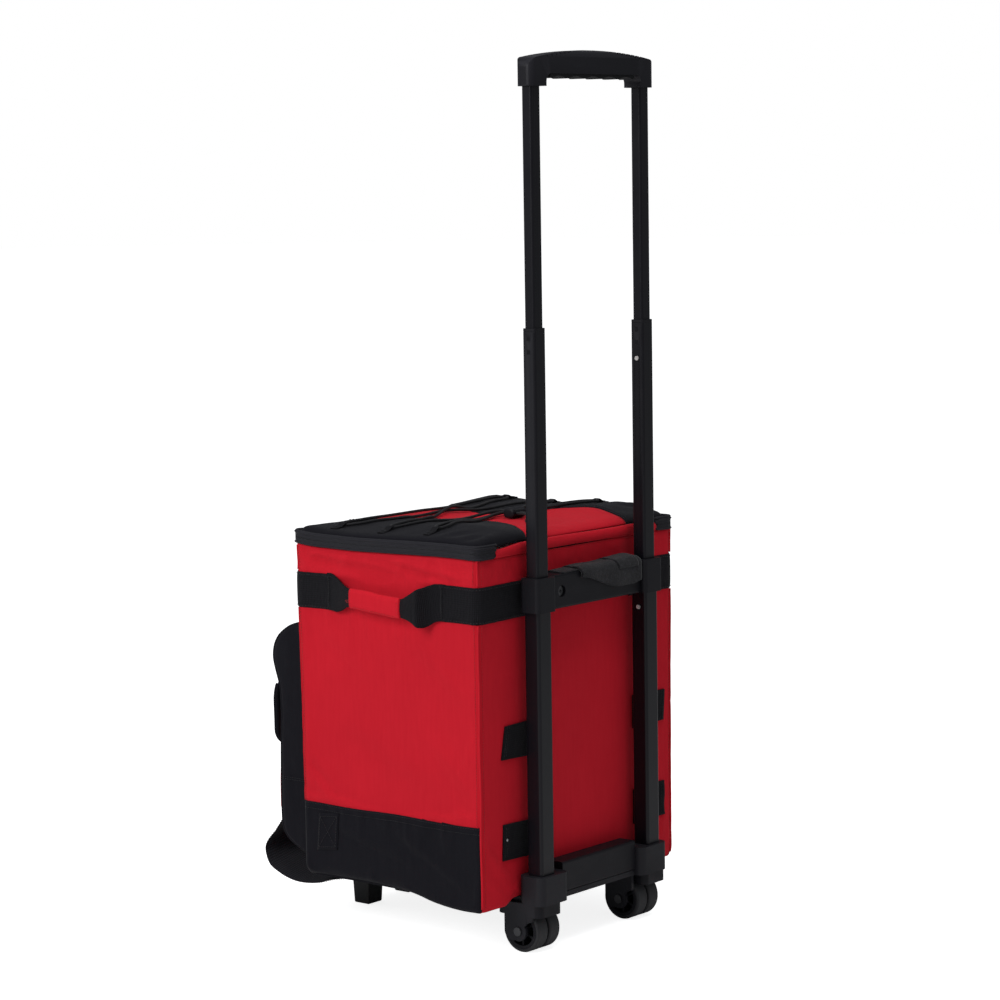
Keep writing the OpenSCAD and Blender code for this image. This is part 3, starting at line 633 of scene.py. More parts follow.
def foam_material(name, colour=(0.80, 0.80, 0.79)):
    p = Paint(name, 0.85, Subsurface_Weight=0.1)
    cells = p.add("TexVoronoi", {"feature": "F1"}, Vector=p.place(), Scale=900.0).outputs["Distance"]
    tone = p.noise(40)
    base = p.blend(tone, tinted(colour, 0.88), colour)
    return p.finish(base, p.spread(tone, 0.78, 0.92), [(cells, 0.4, 0.0004)])


def pressed_board(name, colour=(0.20, 0.14, 0.08)):
    p = Paint(name, 0.8)
    fibres = p.noise(160, detail=6, rough=0.7, stretch=(1, 1, 0.4))
    base = p.blend(fibres, tinted(colour, 0.7), tinted(colour, 1.4))
    return p.finish(base, p.spread(fibres, 0.7, 0.9), [(fibres, 0.3, 0.0004)])


RED = woven_fabric("red_fabric", (0.53, 0.0095, 0.021))
BLACK = woven_fabric("black_fabric", (0.0060, 0.0057, 0.0086), sheen=0.04)
WEBBING = webbing_cloth("webbing", (0.0030, 0.0028, 0.0040))
STRAP = webbing_cloth("strap_webbing", (0.0085, 0.0082, 0.0105), rib=0.0032)
WRAP = fuzzy_loops("hook_and_loop", (0.0036, 0.0034, 0.0048))
ZIP_TAPE = zip_cloth("zip_tape", (0.0066, 0.0063, 0.0090))
ZIP_COIL = moulded_plastic("zip_coil", (0.010, 0.010, 0.012), rough=0.4, grain=1500)
CORD = braided_cord("elastic_cord", (0.0066, 0.0063, 0.0085))
RED_THREAD = braided_cord("red_thread", (0.42, 0.016, 0.022))
BLACK_THREAD = braided_cord("black_thread", (0.017, 0.017, 0.020))
PLASTIC = moulded_plastic("frame_plastic", (0.0040, 0.0038, 0.0058), rough=0.52)
GRIP = moulded_plastic("grip_plastic", (0.0050, 0.0048, 0.0072), rough=0.46, grain=1400)
GRIP_SOFT = moulded_plastic("grip_soft", (0.008, 0.008, 0.009), rough=0.78, grain=600, depth=0.0002)
BUSH = moulded_plastic("bush_plastic", (0.006, 0.006, 0.007), rough=0.42, wear_and_highlight=0.5)
RUBBER = tyre_rubber("foot_rubber", (0.012, 0.012, 0.013))
TREAD = tyre_rubber("wheel_tread", (0.014, 0.014, 0.016))
TUBE = painted_metal("tube_paint", (0.0032, 0.0030, 0.0050))
STEEL = bare_metal("steel")
DARK_STEEL = bare_metal("dark_steel", (0.085, 0.085, 0.09), 0.42)
# catch pins: steel given a pale, mostly non-metallic finish so they show as pale dots even in shade, a
# painted glint
PIN_PAINTED_GLINT = bare_metal("pin_painted_glint", (0.52, 0.50, 0.49), 0.35, 0.15)
ZIP_METAL = bare_metal("zip_metal", (0.05, 0.05, 0.055), 0.42)
FOAM = foam_material("insulation_foam")
LINER = liner_film("liner_film")
BOARD = pressed_board("stiffener")


# ---------------------------------------------------------------- hard parts

def dress(names, material, width=0.5, segments=2, angle=32):
    """A CAD node that stays: its finish, and rounded edges where width is given."""
    for name in names:
        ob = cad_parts[name]
        ob.data.materials.clear()
        ob.data.materials.append(material)
        for polygon in ob.data.polygons:
            polygon.material_index = 0
        ob.data.polygons.foreach_set("use_smooth", np.full(len(ob.data.polygons), True))
        if width:
            bevel(ob, width, segments, weld=True, angle=angle)


def hard_parts():
    dress(("bracket_left", "bracket_right", "upper_bracket"), PLASTIC, 1.0, 3)
    dress(("base_crossbar", "base_deck"), PLASTIC, 0.7)
    dress(("front_feet",), RUBBER, 1.6, 3)
    dress(("wheel_axles", "frame_bolts", "grip_rivets"), DARK_STEEL, 0.4)
    dress(("middle_catches", "inner_catches"), PIN_PAINTED_GLINT, 0.15)
    dress(("lock_spring",), STEEL, 0)
    dress(("outer_tube_left", "outer_tube_right", "middle_tube_left", "middle_tube_right",
           "inner_tube_left", "inner_tube_right"), TUBE, 0.25, 2, 50)
    dress(("outer_bushes", "middle_bushes"), PLASTIC, 0.5)
    dress(("middle_plugs", "inner_plugs"), BUSH, 0.5)
    dress(("grip_shell",), GRIP, 0.8, 3)
    dress(("grip_insert",), GRIP_SOFT, 0.5)
    dress(("wheel_core_left", "wheel_core_right"), PLASTIC, 0.5)
    dress(("tyres_left", "tyres_right"), TREAD, 0.4)
    dress(("stiffener_boards",), BOARD, 0.3)
    dress(("bag_liner", "lid_liner"), LINER, 0.6)
    dress(("rim_slider_left", "rim_slider_right", "pocket_slider"), ZIP_METAL, 0.6, 3)


# ---------------------------------------------------------------- bag

class Outline:
    """The bag seen from above, followed from the middle of its back round by the left side."""

    def __init__(self, low, high, r):
        x, y0, y1, q = high[0] - r, low[1] + r, high[1] - r, math.pi / 2
        self.r = r
        self.parts = [((0, y1), (1, 0), x, (0, 1)), ((x, y1), q, q * r, 1),
                      ((x, y1), (0, -1), y1 - y0, (1, 0)), ((x, y0), 0, q * r, 1),
                      ((x, y0), (-1, 0), 2 * x, (0, -1)), ((-x, y0), -q, q * r, 1),
                      ((-x, y0), (0, 1), y1 - y0, (-1, 0)), ((-x, y1), 2 * q, q * r, 1),
                      ((-x, y1), (1, 0), x, (0, 1))]
        self.starts = np.concatenate([[0], np.cumsum([p[2] for p in self.parts])])
        self.length = self.starts[-1]
        self.corners = [(self.starts[k] + self.starts[k + 1]) / 2 for k in (1, 3, 5, 7)]
        self.y0, self.y1, self.x = y0, y1, x

    def at(self, s):
        """Point and outward direction at distances s along the outline, in the XY plane."""
        s = np.asarray(s, float) % self.length
        point, out = np.zeros(s.shape + (3,)), np.zeros(s.shape + (3,))
        for k, part in enumerate(self.parts):
            here = (s >= self.starts[k]) & (s < self.starts[k + 1])
            t = s[here] - self.starts[k]
            if part[3] == 1:
                a = part[1] - t / self.r
                d = np.stack([np.cos(a), np.sin(a)], -1)
                point[here, :2], out[here, :2] = np.array(part[0]) + self.r * d, d
            else:
                start, way, away = (np.array(part[n]) for n in (0, 1, 3))
                point[here, :2] = start + t[:, None] * way + self.r * away
                out[here, :2] = part[3]
        return point, out

    def left(self, y):
        return self.starts[2] + self.y1 - np.asarray(y, float)

    def right(self, y):
        return self.starts[6] + np.asarray(y, float) - self.y0

    def side(self, y, sign):
        return self.left(y) if sign > 0 else self.right(y)

    def back(self, x):
        return np.asarray(x, float) % self.length

    def front(self, x):
        return self.starts[4] + self.x - np.asarray(x, float)


OUTLINE = Outline(BAG_LO, BAG_HI, BAG_R)
CLOTH_ROWS, CLOTH_COLS = 64, 204
LAST_FRAME = 25
FABRIC = {"vertex_group_mass": "pins", "quality": 5, "mass": 0.15, "shrink_min": -0.012,
          "bending_stiffness": 0.8, "use_pressure": True, "uniform_pressure_force": 1.2}


def along_side(point):
    """-1 at the front and 1 at the back of the bag."""
    return (point[..., 1] - BAG_LO[1]) / (BAG_HI[1] - BAG_LO[1])


def bottom_edge(point):
    """Height of the bag's lower edge: it sags at the rear corners and curls up towards the front."""
    x, y = np.abs(point[..., 0]), point[..., 1]
    side = curve_through((-105, -79, -28, 21, 46, 65, 82, 125, 156),
                         (65, 66, 66.5, 66, 65, 62.5, 59, 54.5, 55), y)
    back = BAG_LO[2] + 0.8 - 7 * smooth(118, 134, x)
    front = np.full_like(y, 63.5) + 1.5 * smooth(60, 160, x)
    edge = np.where(y > BAG_HI[1] - 4, back, np.where(y < BAG_LO[1] + 4, front, side))
    return edge


def top_edge(point):
    """Height of the mouth seam under the zip, which waves a little."""
    x, y = np.abs(point[..., 0]), point[..., 1]
    side = curve_through((-105, -83, -45, -23, 20, 60, 122, 156), (5.2, 2.2, 1.0, 0.6, 1.2, 2.0, 2.6, 1.6), y)
    front = 1.5 + 3.7 * smooth(110, 172, x) + 0.8 * np.sin(x / 31)
    back = 1.2 * smooth(60, 140, x)
    return BAG_HI[2] + np.where(y > BAG_HI[1] - 4, back, np.where(y < BAG_LO[1] + 4, front, side))


def relax_fabric():
    """Simulated puckers of the bag's panels, which are sewn at their edges and cut a little full."""
    s = np.arange(CLOTH_COLS) * OUTLINE.length / CLOTH_COLS
    v = np.linspace(0, 1, CLOTH_ROWS)
    point, out = OUTLINE.at(s)
    low, high = bottom_edge(point), top_edge(point)
    z = low + (high - low) * v[:, None]
    verts = np.repeat(point[None], CLOTH_ROWS, 0)
    verts[..., 2] = z
    seam = np.min([np.abs((s - c + OUTLINE.length / 2) % OUTLINE.length - OUTLINE.length / 2)
                   for c in OUTLINE.corners], 0)
    held = np.repeat((seam < 4)[None], CLOTH_ROWS, 0)
    held[0], held[-1] = True, True
    held |= (z > BAND_Z[0] + 4) & (z < BAND_Z[1] - 4)
    held |= (np.abs(z - SEAM_Z) < 3.2) & (np.abs(out[None, :, 0]) > 0.7)
    bulge = 0.8 * np.sin(np.pi * np.clip(seam / 120, 0, 1)) ** 0.5
    start = verts + out[None] * (bulge * ~held)[..., None] + out[None] * 0.5 * ripple(
        np.repeat(s[None], CLOTH_ROWS, 0), z, 34, 3)[..., None] * ~held[..., None]
    mesh = bpy.data.meshes.new("cloth")
    mesh.from_pydata((start.reshape(-1, 3) * MM).tolist(), [], grid_faces(CLOTH_ROWS, CLOTH_COLS, wrap=True))
    ob = bpy.data.objects.new("cloth", mesh)
    bpy.context.scene.collection.objects.link(ob)
    pins = ob.vertex_groups.new(name="pins")
    pins.add([int(k) for k in np.flatnonzero(held.ravel())], 1.0, "REPLACE")
    cloth = ob.modifiers.new("cloth", "CLOTH")
    for key, value in FABRIC.items():
        setattr(cloth.settings, key, value)
    cloth.settings.effector_weights.gravity = 0.4
    cloth.collision_settings.use_collision = False
    for f in range(1, LAST_FRAME + 1):
        bpy.context.scene.frame_set(f)
    shape = ob.evaluated_get(bpy.context.evaluated_depsgraph_get()).to_mesh()
    co = np.empty(len(mesh.vertices) * 3)
    shape.vertices.foreach_get("co", co)
    moved = co.reshape(verts.shape) / MM - verts
    bpy.data.objects.remove(ob)
    bpy.context.scene.frame_set(1)
    return np.sum(moved * out[None], -1)


PUCKERS = relax_fabric()


def corner_swell(s):
    """The bag's corners stand out a little, most at the front."""
    swell = 0.0
    for corner, size in zip(OUTLINE.corners, (0.3, 4.2, 4.2, 2.6)):
        apart = (s - corner + OUTLINE.length / 2) % OUTLINE.length - OUTLINE.length / 2
        swell = swell + size * np.exp(-((apart / 20) ** 2))
    return swell


# soft creases in the side panels: (y, z) of one end and of the other, height, half width
FOLDS = ((-90, 437, 60, 424, 2.4, 5.0), (20, 437, 150, 421, 2.2, 4.5), (-80, 362, 10, 300, 1.0, 12),
         (60, 352, 140, 290, 1.3, 12), (-40, 250, 70, 200, 0.9, 14), (90, 240, 150, 180, 1.1, 10),
         (-95, 210, -40, 160, 1.0, 9), (-60, 130, 60, 100, 1.4, 8), (40, 132, 140, 78, 1.6, 8))


def fullness(s, v, point, out):
    """How far the fabric stands out from the bag's straight walls."""
    side, back = np.abs(out[..., 0]), np.clip(out[..., 1], 0, 1)
    if PUCKERS is not None:
        d = sample(PUCKERS, v * (CLOTH_ROWS - 1), (s % OUTLINE.length) * CLOTH_COLS / OUTLINE.length)
        d = np.where(d > 0, 4.5 * np.tanh(d / 4.5), 1.0 * np.tanh(d / 1.0))
    else:
        d = 1.5 * np.sin(np.pi * np.clip(v, 0, 1)) * np.ones_like(s)
    d = d * (1 - 0.35 * back)
    height = bottom_edge(point) + (top_edge(point) - bottom_edge(point)) * v
    for ax, az, bx, bz, deep, wide in FOLDS:
        run, climb = point[..., 1] - ax, height - az
        length = math.hypot(bx - ax, bz - az)
        along = (run * (bx - ax) + climb * (bz - az)) / length
        across = (climb * (bx - ax) - run * (bz - az)) / length
        fade = smooth(-12, 22, along) * smooth(length + 12, length - 30, along)
        d = d + deep * fade * (bell(across, 0, wide) - 0.7 * bell(across, -1.6 * wide, wide)) * side
    mouth = smooth(0.86, 0.97, v)
    d = d + 0.9 * mouth * side * np.sin(s / 19.0) * smooth(1.0, 0.93, v)
    d = np.maximum(d, -1.3) + corner_swell(s) * (0.25 + 0.75 * smooth(0.15, 1.0, v))
    curl = np.clip(1 - v / 0.035, 0, 1) ** 2
    return d - 5.0 * curl * side * smooth(0.75, 0.35, along_side(point)) - 2.0 * curl


def bag_at(s, z, lift=0.0):
    """Points and outward directions on the bag's fabric at distances s and heights z."""
    s, z = np.broadcast_arrays(np.asarray(s, float), np.asarray(z, float))
    point, out = OUTLINE.at(s)
    low, high = bottom_edge(point), top_edge(point)
    v = np.clip((z - low) / (high - low), 0, 1)
    point = point + out * (fullness(s, v, point, out) + lift)[..., None]
    point[..., 2] = z
    return point, out


def bag_grid(s, v):
    """The same at shares v of the height between the lower edge and the mouth."""
    s, v = np.meshgrid(np.asarray(s, float), np.asarray(v, float))
    point, _ = OUTLINE.at(s)
    low, high = bottom_edge(point), top_edge(point)
    return bag_at(s, low + (high - low) * v)


def bag_body():
    s = np.arange(0, OUTLINE.length, 3.2)
    v = np.linspace(0, 1, 120)
    outer, out = bag_grid(s, v)
    rows, cols = outer.shape[:2]
    # the floor closes inwards from the lower edge
    floor = []
    for k, inset in enumerate((6, 22, 60, 110)):
        ring, _ = OUTLINE.at(s)
        scale = np.array([(BAG_HW - inset) / BAG_HW, (131 - inset) / 131, 1])
        middle = np.array([0, (BAG_LO[1] + BAG_HI[1]) / 2, 0])
        ring = (ring - middle) * scale + middle
        sag = bottom_edge(OUTLINE.at(s)[0]) - BAG_LO[2] - 0.6
        ring[:, 2] = BAG_LO[2] + 0.6 + sag * (0.55, 0.08, 0, 0)[k]
        floor.append(ring)
    skin = np.concatenate([np.array(floor[::-1]), outer])
    inner = np.array([(outer - out * 1.3)[k] for k in range(rows - 1, rows - 12, -1)])
    skin = np.concatenate([skin, inner])
    n, verts = skin.shape[0], skin.reshape(-1, 3)
    faces = grid_faces(n, cols, wrap=True)
    faces.append(tuple(range(cols)))
    height = np.cumsum(np.concatenate([[0], np.linalg.norm(np.diff(skin, axis=0), axis=2).mean(1)]))
    uv = np.stack(np.meshgrid(s, height), -1).reshape(-1, 2)
    middle = skin[:-1].reshape(-1, 3)
    row_z = (skin[:-1, :, 2] + skin[1:, :, 2]) / 2
    ways = OUTLINE.at(s)[1]
    black = (row_z < SEAM_Z - 1) & ((np.abs(ways[:, 0]) > 0.8) | (ways[:, 1] < -0.5))[None]
    black[:4] = True
    which = np.concatenate([black.reshape(-1).astype(int), [1]])
    body = make("bag_body", verts, faces, RED, "cart", "red_fabric", uvs=uv, extra=(BLACK,),
                face_material=which)
    fix_normals(body)
    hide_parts("bag_shell")


def lower_panels():
    """Black panels low on the sides, lapped over the red fabric and stitched along their hem."""
    lines = []
    for name, sign in SIDES:
        y = np.linspace(BAG_HI[1] - 2, BAG_LO[1] + 2, 92)
        s = OUTLINE.side(y, sign)
        point, out = OUTLINE.at(s)
        low = bottom_edge(point)
        share = np.linspace(0, 1, 34)[:, None]
        hem = SEAM_Z + 0.6 * np.sin(y / 23)
        z = low + 0.6 + (hem - low - 0.6) * share
        outer, out = bag_at(np.broadcast_to(s, z.shape), z, lift=0.9)
        outer, out = facing(outer, out, sign)
        panel = thick("lower_panel_" + name, outer, out, 1.0, BLACK, "cart", "black_fabric")
        if sign > 0:
            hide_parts("lower_side_panels")
        for drop in (1.6, 7.6):
            line, normal = bag_at(s, hem - drop, lift=0.9)
            lines.append((line, normal))
    stitches("hem_stitching", lines, BLACK_THREAD, "cart", "black_fabric")


def corner_seams():
    """Piping up the rear corners, and a raised seam with topstitching up the front ones."""
    first, lines = None, []
    for k, corner in enumerate(OUTLINE.corners):
        rear = k in (0, 3)
        spans = ((60 if rear else SEAM_Z, BAND_Z[0] - 1), (BAND_Z[1] + 1, BAG_HI[2] + 1))
        for j, (a, b) in enumerate(spans):
            z = np.linspace(a, b, 60)
            wobble = 0.25 * np.sin(z / 17 + k)
            line, _ = bag_at(np.full_like(z, corner) + wobble, z, lift=0.9 if rear else 0.2)
            ob = tube(f"corner_piping_{k}_{j}", line, 1.35 if rear else 0.8, RED, "cart", "red_fabric")
            first = first or ob
            side = 4.2 if rear else 3.4
            for shift in (-side, side):
                lines.append(bag_at(np.full_like(z, corner + shift), z))
    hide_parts("corner_piping")
    stitches("corner_stitching", lines, RED_THREAD, "cart", "red_fabric", lift=0.05)


def band_strip(name, s, replaced=None):
    """Webbing sewn flat round the bag over a run of the outline."""
    z = np.linspace(BAND_Z[0] + 0.3, BAND_Z[1] - 0.3, 15)
    sway = 0.5 * np.sin(s / 37)
    height = z[:, None] + sway[None]
    outer, out = bag_at(np.broadcast_to(s, height.shape), height, lift=1.7)
    k = np.linspace(-1, 1, len(z))
    outer = outer - out * (0.8 * np.abs(k) ** 8)[:, None, None]
    grid, norm = outer.transpose(1, 0, 2), out.transpose(1, 0, 2)
    ob = thick(name, grid, norm, 1.5, WEBBING, "cart", "webbing")
    if replaced:
        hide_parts(replaced)
    return [(bag_at(s, BAND_Z[0] + 2.6 + sway, lift=1.75)), (bag_at(s, BAND_Z[1] - 2.6 + sway, lift=1.75))]


def webbing_bands():
    lines = []
    y_front, y_back = HANDLE_LO[1], HANDLE_HI[1]
    s = np.arange(OUTLINE.left(y_front + 3), OUTLINE.right(y_front + 3), 3.0)
    lines += band_strip("band_front", s, "webbing_front")
    inner = 92.0
    s = np.arange(OUTLINE.back(inner), OUTLINE.left(y_back - 3), 3.0)
    lines += band_strip("band_rear_left", s, "webbing_rear")
    s = np.arange(OUTLINE.right(y_back - 3), OUTLINE.length - inner, 3.0)
    lines += band_strip("band_rear_right", s)
    stitches("band_stitching", lines, BLACK_THREAD, "cart", "webbing", lift=0.0)


# ---------------------------------------------------------------- side handles

HANDLE_Y = (-62, -52, -44, -34, -22, -14, 20, 53, 59, 68, 77, 84, 88, 92, 97, 104, 115)
HANDLE_TOP = (0.3, 0.3, -3.5, -8.5, -12.5, -13.5, -15.5, -18.5, -18.5, -15, -10, -6, -4.5, -2.5, -0.8, 0, 0)
HANDLE_FOOT = (0, -0.5, -1.2, 1.5, 6.5, 7.5, 5, 2.5, 1.5, 0.5, -3, -7, -7.5, -5.5, -2.0, 0, 0)
HANDLE_OUT = (0, 1.2, 3.0, 5.8, 9.0, 10.0, 10, 10.5, 12, 13.5, 14.2, 14.2, 9.0, 4.0, 1.6, 0.3, 0)


def side_handles():
    """Carry handles: webbing that leaves the bag, folds round a padded sleeve and comes back."""
    y0, y1 = HANDLE_LO[1], HANDLE_HI[1]
    bow = HANDLE_HI[0] - BAG_HW
    mid = sum(BAND_Z) / 2
    for name, sign in SIDES:
        y = np.concatenate([np.linspace(y0 - 7, -16, 34), np.linspace(-13, 52, 12),
                            np.linspace(54, y1 + 8, 40)])
        drop = curve_through(HANDLE_Y, HANDLE_TOP, y)
        rise = curve_through(HANDLE_Y, HANDLE_FOOT, y)
        away = 1.5 + np.maximum(curve_through(HANDLE_Y, HANDLE_OUT, y), 0) * bow / 15
        neck = smooth(y0 + 12, -18, y) * smooth(90, 56, y)
        k = np.linspace(-1, 1, 19)
        top, foot = BAND_Z[1] + drop, BAND_Z[0] + rise
        x = (BAG_HW + away[:, None] + (1.6 * neck)[:, None] * (1 - k**2)
             + 0.25 * np.sin(y / 5)[:, None] * np.abs(k))
        z = ((top + foot) / 2)[:, None] + k * ((top - foot) / 2)[:, None]
        outer = np.stack([sign * x, np.broadcast_to(y[:, None], x.shape), z], -1)
        out = grid_normals(outer)
        out = out * np.where(out[..., :1] * sign < 0, -1, 1)
        outer, out = facing(outer, out, sign)
        web = thick("handle_webbing_" + name, outer, out, 1.5, WEBBING, "cart", "webbing")
        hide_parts("side_handle_" + name)
        sleeve(name, sign, mid, bow)
        bartacks(name, sign, y0, y1, mid)


def sleeve(name, sign, mid, bow):
    """Padded fabric sleeve, sewn along its length and drawn in at its ends."""
    y = np.concatenate([np.linspace(-15.5, -11, 6), np.linspace(-9, 53, 24), np.linspace(55, 58.5, 6)])
    ends = np.clip(np.minimum(y + 15.9, 58.9 - y) / 1.5, 0.25, 1) ** 0.4
    centre = mid - 2.9 - 5.5 * smooth(-20, 60, y)
    a = round_angles(28)
    sections = []
    for k in range(len(y)):
        swell = 1 + 0.02 * math.sin(y[k] / 6)
        cx = squared(np.cos(a), 0.75)
        cz = squared(np.sin(a), 0.62)
        dx = 3.6 * ends[k] * swell * cx
        dz = 11.4 * (0.82 + 0.18 * ends[k]) * swell * cz
        x = sign * (BAG_HW + bow - 1.6 + dx)
        sections.append(np.stack([x, np.full_like(a, y[k]), centre[k] + dz], -1))
    ob = loft("handle_sleeve_" + name, sections, RED, "cart", "red_fabric")
    soften(ob)
    if sign > 0:
        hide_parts("handle_sleeves")
    lines = []
    for y_at in (-12.6, 55.6):
        z = np.linspace(-10.6, 10.6, 12)
        c = mid - 2.9 - 5.5 * float(smooth(-20, 60, y_at))
        x = BAG_HW + bow - 1.6 + 3.5 * np.sqrt(np.clip(1 - (np.abs(z) / 11.4) ** 3.4, 0.02, 1))
        lines.append((np.stack([sign * x, np.full_like(z, y_at), c + z], -1), (sign, 0, 0)))
    y_run = np.linspace(-11, 54, 30)
    c = mid - 2.9 - 5.5 * smooth(-20, 60, y_run) - 9.2
    x = np.full_like(y_run, BAG_HW + bow - 1.6 + 2.9)
    lines.append((np.stack([sign * x, y_run, c], -1), (sign, 0, -0.5)))
    stitches("sleeve_stitching_" + name, lines, RED_THREAD, "cart", "red_fabric", lift=-0.1)


def bartacks(name, sign, y0, y1, mid):
    """Dense stitched bars where the handle's webbing leaves the band, one of them in red thread."""
    def bar(y, z0, z1, x):
        z = np.linspace(z0, z1, 24)
        zig = zigzag(24, 1.1)
        return np.stack([np.full(24, sign * x), y + zig, z], -1), (sign, 0, 0)
    x = BAG_HW + 2.5
    stitches("bartacks_" + name, [bar(y0 - 3, mid - 17, mid + 17, x), bar(y1 + 3, mid - 17, mid + 17, x)],
             BLACK_THREAD, "cart", "webbing", length=2.2, space=0.1, radius=0.35)
    red = []
    for k in range(3):
        start = [sign * (BAG_HW + 13.4), -23 + 0.8 * k, mid - 6 - 1.2 * k]
        end = [sign * (BAG_HW + 16.2), -13 + 0.4 * k, mid - 4 - 1.3 * k]
        red.append((np.array([start, end]), (sign, 0, 0)))
    stitches("sleeve_tack_" + name, red, RED_THREAD, "cart", "red_fabric", length=3.4, space=0.4, radius=0.32)


# ---------------------------------------------------------------- tabs and patches

def sewn_patches():
    lines = []
    low, high = cad("base_patches")
    y_edge = (low[1] + 7, high[1] + 7)
    first = None
    for name, sign in SIDES:
        y = np.linspace(y_edge[1], y_edge[0], 12)
        share = np.linspace(0, 1, 16)[:, None]
        lean = -4 * (1 - share)
        yy = y[None] + lean
        z = low[2] - 2 + (high[2] - low[2]) * share + 3.5 * (yy - y_edge[0]) / 30 - 1
        s = OUTLINE.side(yy, sign)
        outer, out = bag_at(s, z, lift=2.0)
        outer, out = facing(outer, out, sign)
        ob = thick("side_patch_" + name, outer, out, 1.0, BLACK, "cart", "black_fabric")
        first = first or ob
        a, b, c, d = outer[0, 0], outer[0, -1], outer[-1, -1], outer[-1, 0]
        shrink = [p + (outer.reshape(-1, 3).mean(0) - p) * 0.16 for p in (a, b, c, d)]
        for i, j in ((0, 1), (1, 2), (2, 3), (3, 0), (0, 2), (1, 3)):
            lines.append((np.linspace(shrink[i], shrink[j], 12) + [sign * 0.5, 0, 0], (sign, 0, 0)))
    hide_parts("base_patches")
    stitches("patch_stitching", lines, BLACK_THREAD, "cart", "black_fabric", length=2.2, radius=0.34)


def rear_tabs():
    """Webbing tabs that hold the outer tubes to the bag's back."""
    low, high = cad("tube_tabs")
    first, lines = None, []
    heights = ((low[2] - 2, low[2] + 38, 2.0), (high[2] - 43, high[2] - 4, 7.0))
    for name, sign in SIDES:
        for k, (z0, z1, slant) in enumerate(heights):
            inner, reach, slant = (88, 139.5, slant) if sign > 0 else (100, 158, -slant / 3)
            x = np.linspace(inner, reach, 24)
            share = np.linspace(0, 1, 12)[:, None]
            z = z0 + (z1 - z0) * share + 0.03 * (x[None] - 88) - 0.05 * k * share * (x[None] - 88)
            xx = x[None] - slant * share * smooth(inner + 15, reach, x)[None]
            outer, out = bag_at(OUTLINE.back(sign * xx), z, lift=1.9)
            outer, out = (outer.transpose(1, 0, 2), out.transpose(1, 0, 2))
            if sign < 0:
                outer, out = outer[::-1], out[::-1]
            ob = thick(f"rear_tab_{name}_{k}", outer, out, 1.6, WEBBING, "cart", "webbing")
            first = first or ob
            zz = np.linspace(z0 + 3, z1 - 3, 14)
            for shift in (3.5, 6.7):
                edge = reach - shift - slant * np.linspace(0, 1, 14)
                line, normal = bag_at(OUTLINE.back(sign * edge), zz + 1.4, lift=2.0)
                lines.append((line, normal))
    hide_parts("tube_tabs")
    stitches("tab_stitching", lines, BLACK_THREAD, "cart", "webbing", radius=0.32)
    for name, sign in SIDES:
        at, out = bag_at(OUTLINE.back(np.array([sign * 132.0])), np.array([low[2] + 22.0]), lift=2.0)
        a = round_angles(16)
        rings = []
        for radius, rise in ((1.7, -0.6), (1.7, 0.2), (1.2, 0.7), (0.5, 0.9)):
            rings.append(np.stack([at[0, 0] + radius * np.cos(a), np.full_like(a, at[0, 1] + rise),
                                   at[0, 2] + radius * np.sin(a)], -1))
        loft("tab_rivet_" + name, rings, STEEL, "cart", "steel")


# ---------------------------------------------------------------- zip between bag and lid

def zip_run():
    """Distances along the outline that the zip covers, from one rear corner round to the other."""
    wrap = cad("hinge_fold")[1][0]
    return np.arange(OUTLINE.back(wrap - 1), OUTLINE.length - wrap + 1, 3.0)


def zip_half(name, upper, body, replaced):
    """One half of the zip: a bound edge, ribbed tape, and the coil along its inner edge."""
    s = zip_run()
    point, out = OUTLINE.at(s)
    base = top_edge(point)
    ends = np.clip(np.minimum(s - s[0], s[-1] - s) / 7.0, 0.15, 1) ** 0.5
    profile = ((0.2, -1.2), (1.9, -1.0), (2.6, -0.3), (2.6, 0.5), (1.9, 1.1), (1.35, 1.5), (1.6, 2.2),
               (1.35, 2.9), (1.6, 3.6), (1.35, 4.2), (1.5, 4.9), (1.0, 5.3), (0.2, 5.2))
    rows = []
    for off, dz in profile:
        height = (base + 0.4 + dz) if not upper else (base + 12.0 - dz)
        p = point + out * (off * ends + 1.0 + 0.9 * corner_swell(s))[:, None]
        p[:, 2] = base + 6.2 + (height - base - 6.2) * (0.55 + 0.45 * ends)
        rows.append(p)
    loops = np.stack(rows, 1)
    ob = loft(name, loops, ZIP_TAPE, body, "zip_tape")
    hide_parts(replaced)
    middle = base + (5.75 if not upper else 6.65)
    t = np.arange(s[0] + 3, s[-1] - 3, 1.6) + (0.8 if upper else 0)
    at, o = OUTLINE.at(t)
    height = np.interp(t, s, middle)
    verts, faces = [], []
    along = np.stack([o[:, 1], -o[:, 0], np.zeros(len(t))], 1)
    for k in range(len(t)):
        c = at[k] + o[k] * (1.7 + 0.9 * corner_swell(t[k]))
        c[2] = height[k]
        n0 = len(verts)
        for a, b, e in ((-0.5, -0.7, 0), (0.5, -0.7, 0), (0.5, 0.7, 0), (-0.5, 0.7, 0),
                        (-0.35, -0.5, 0.75), (0.35, -0.5, 0.75), (0.35, 0.5, 0.75), (-0.35, 0.5, 0.75)):
            verts.append(c + along[k] * a + np.array([0, 0, b]) + o[k] * e)
        faces += [(n0, n0 + 1, n0 + 2, n0 + 3), (n0 + 7, n0 + 6, n0 + 5, n0 + 4)]
        faces += [(n0 + i, n0 + 4 + i, n0 + 4 + (i + 1) % 4, n0 + (i + 1) % 4) for i in range(4)]
    fix_normals(make(name + "_coil", verts, faces, ZIP_COIL, body, "zip_tape", uvs=np.array(verts)[:, :2]))


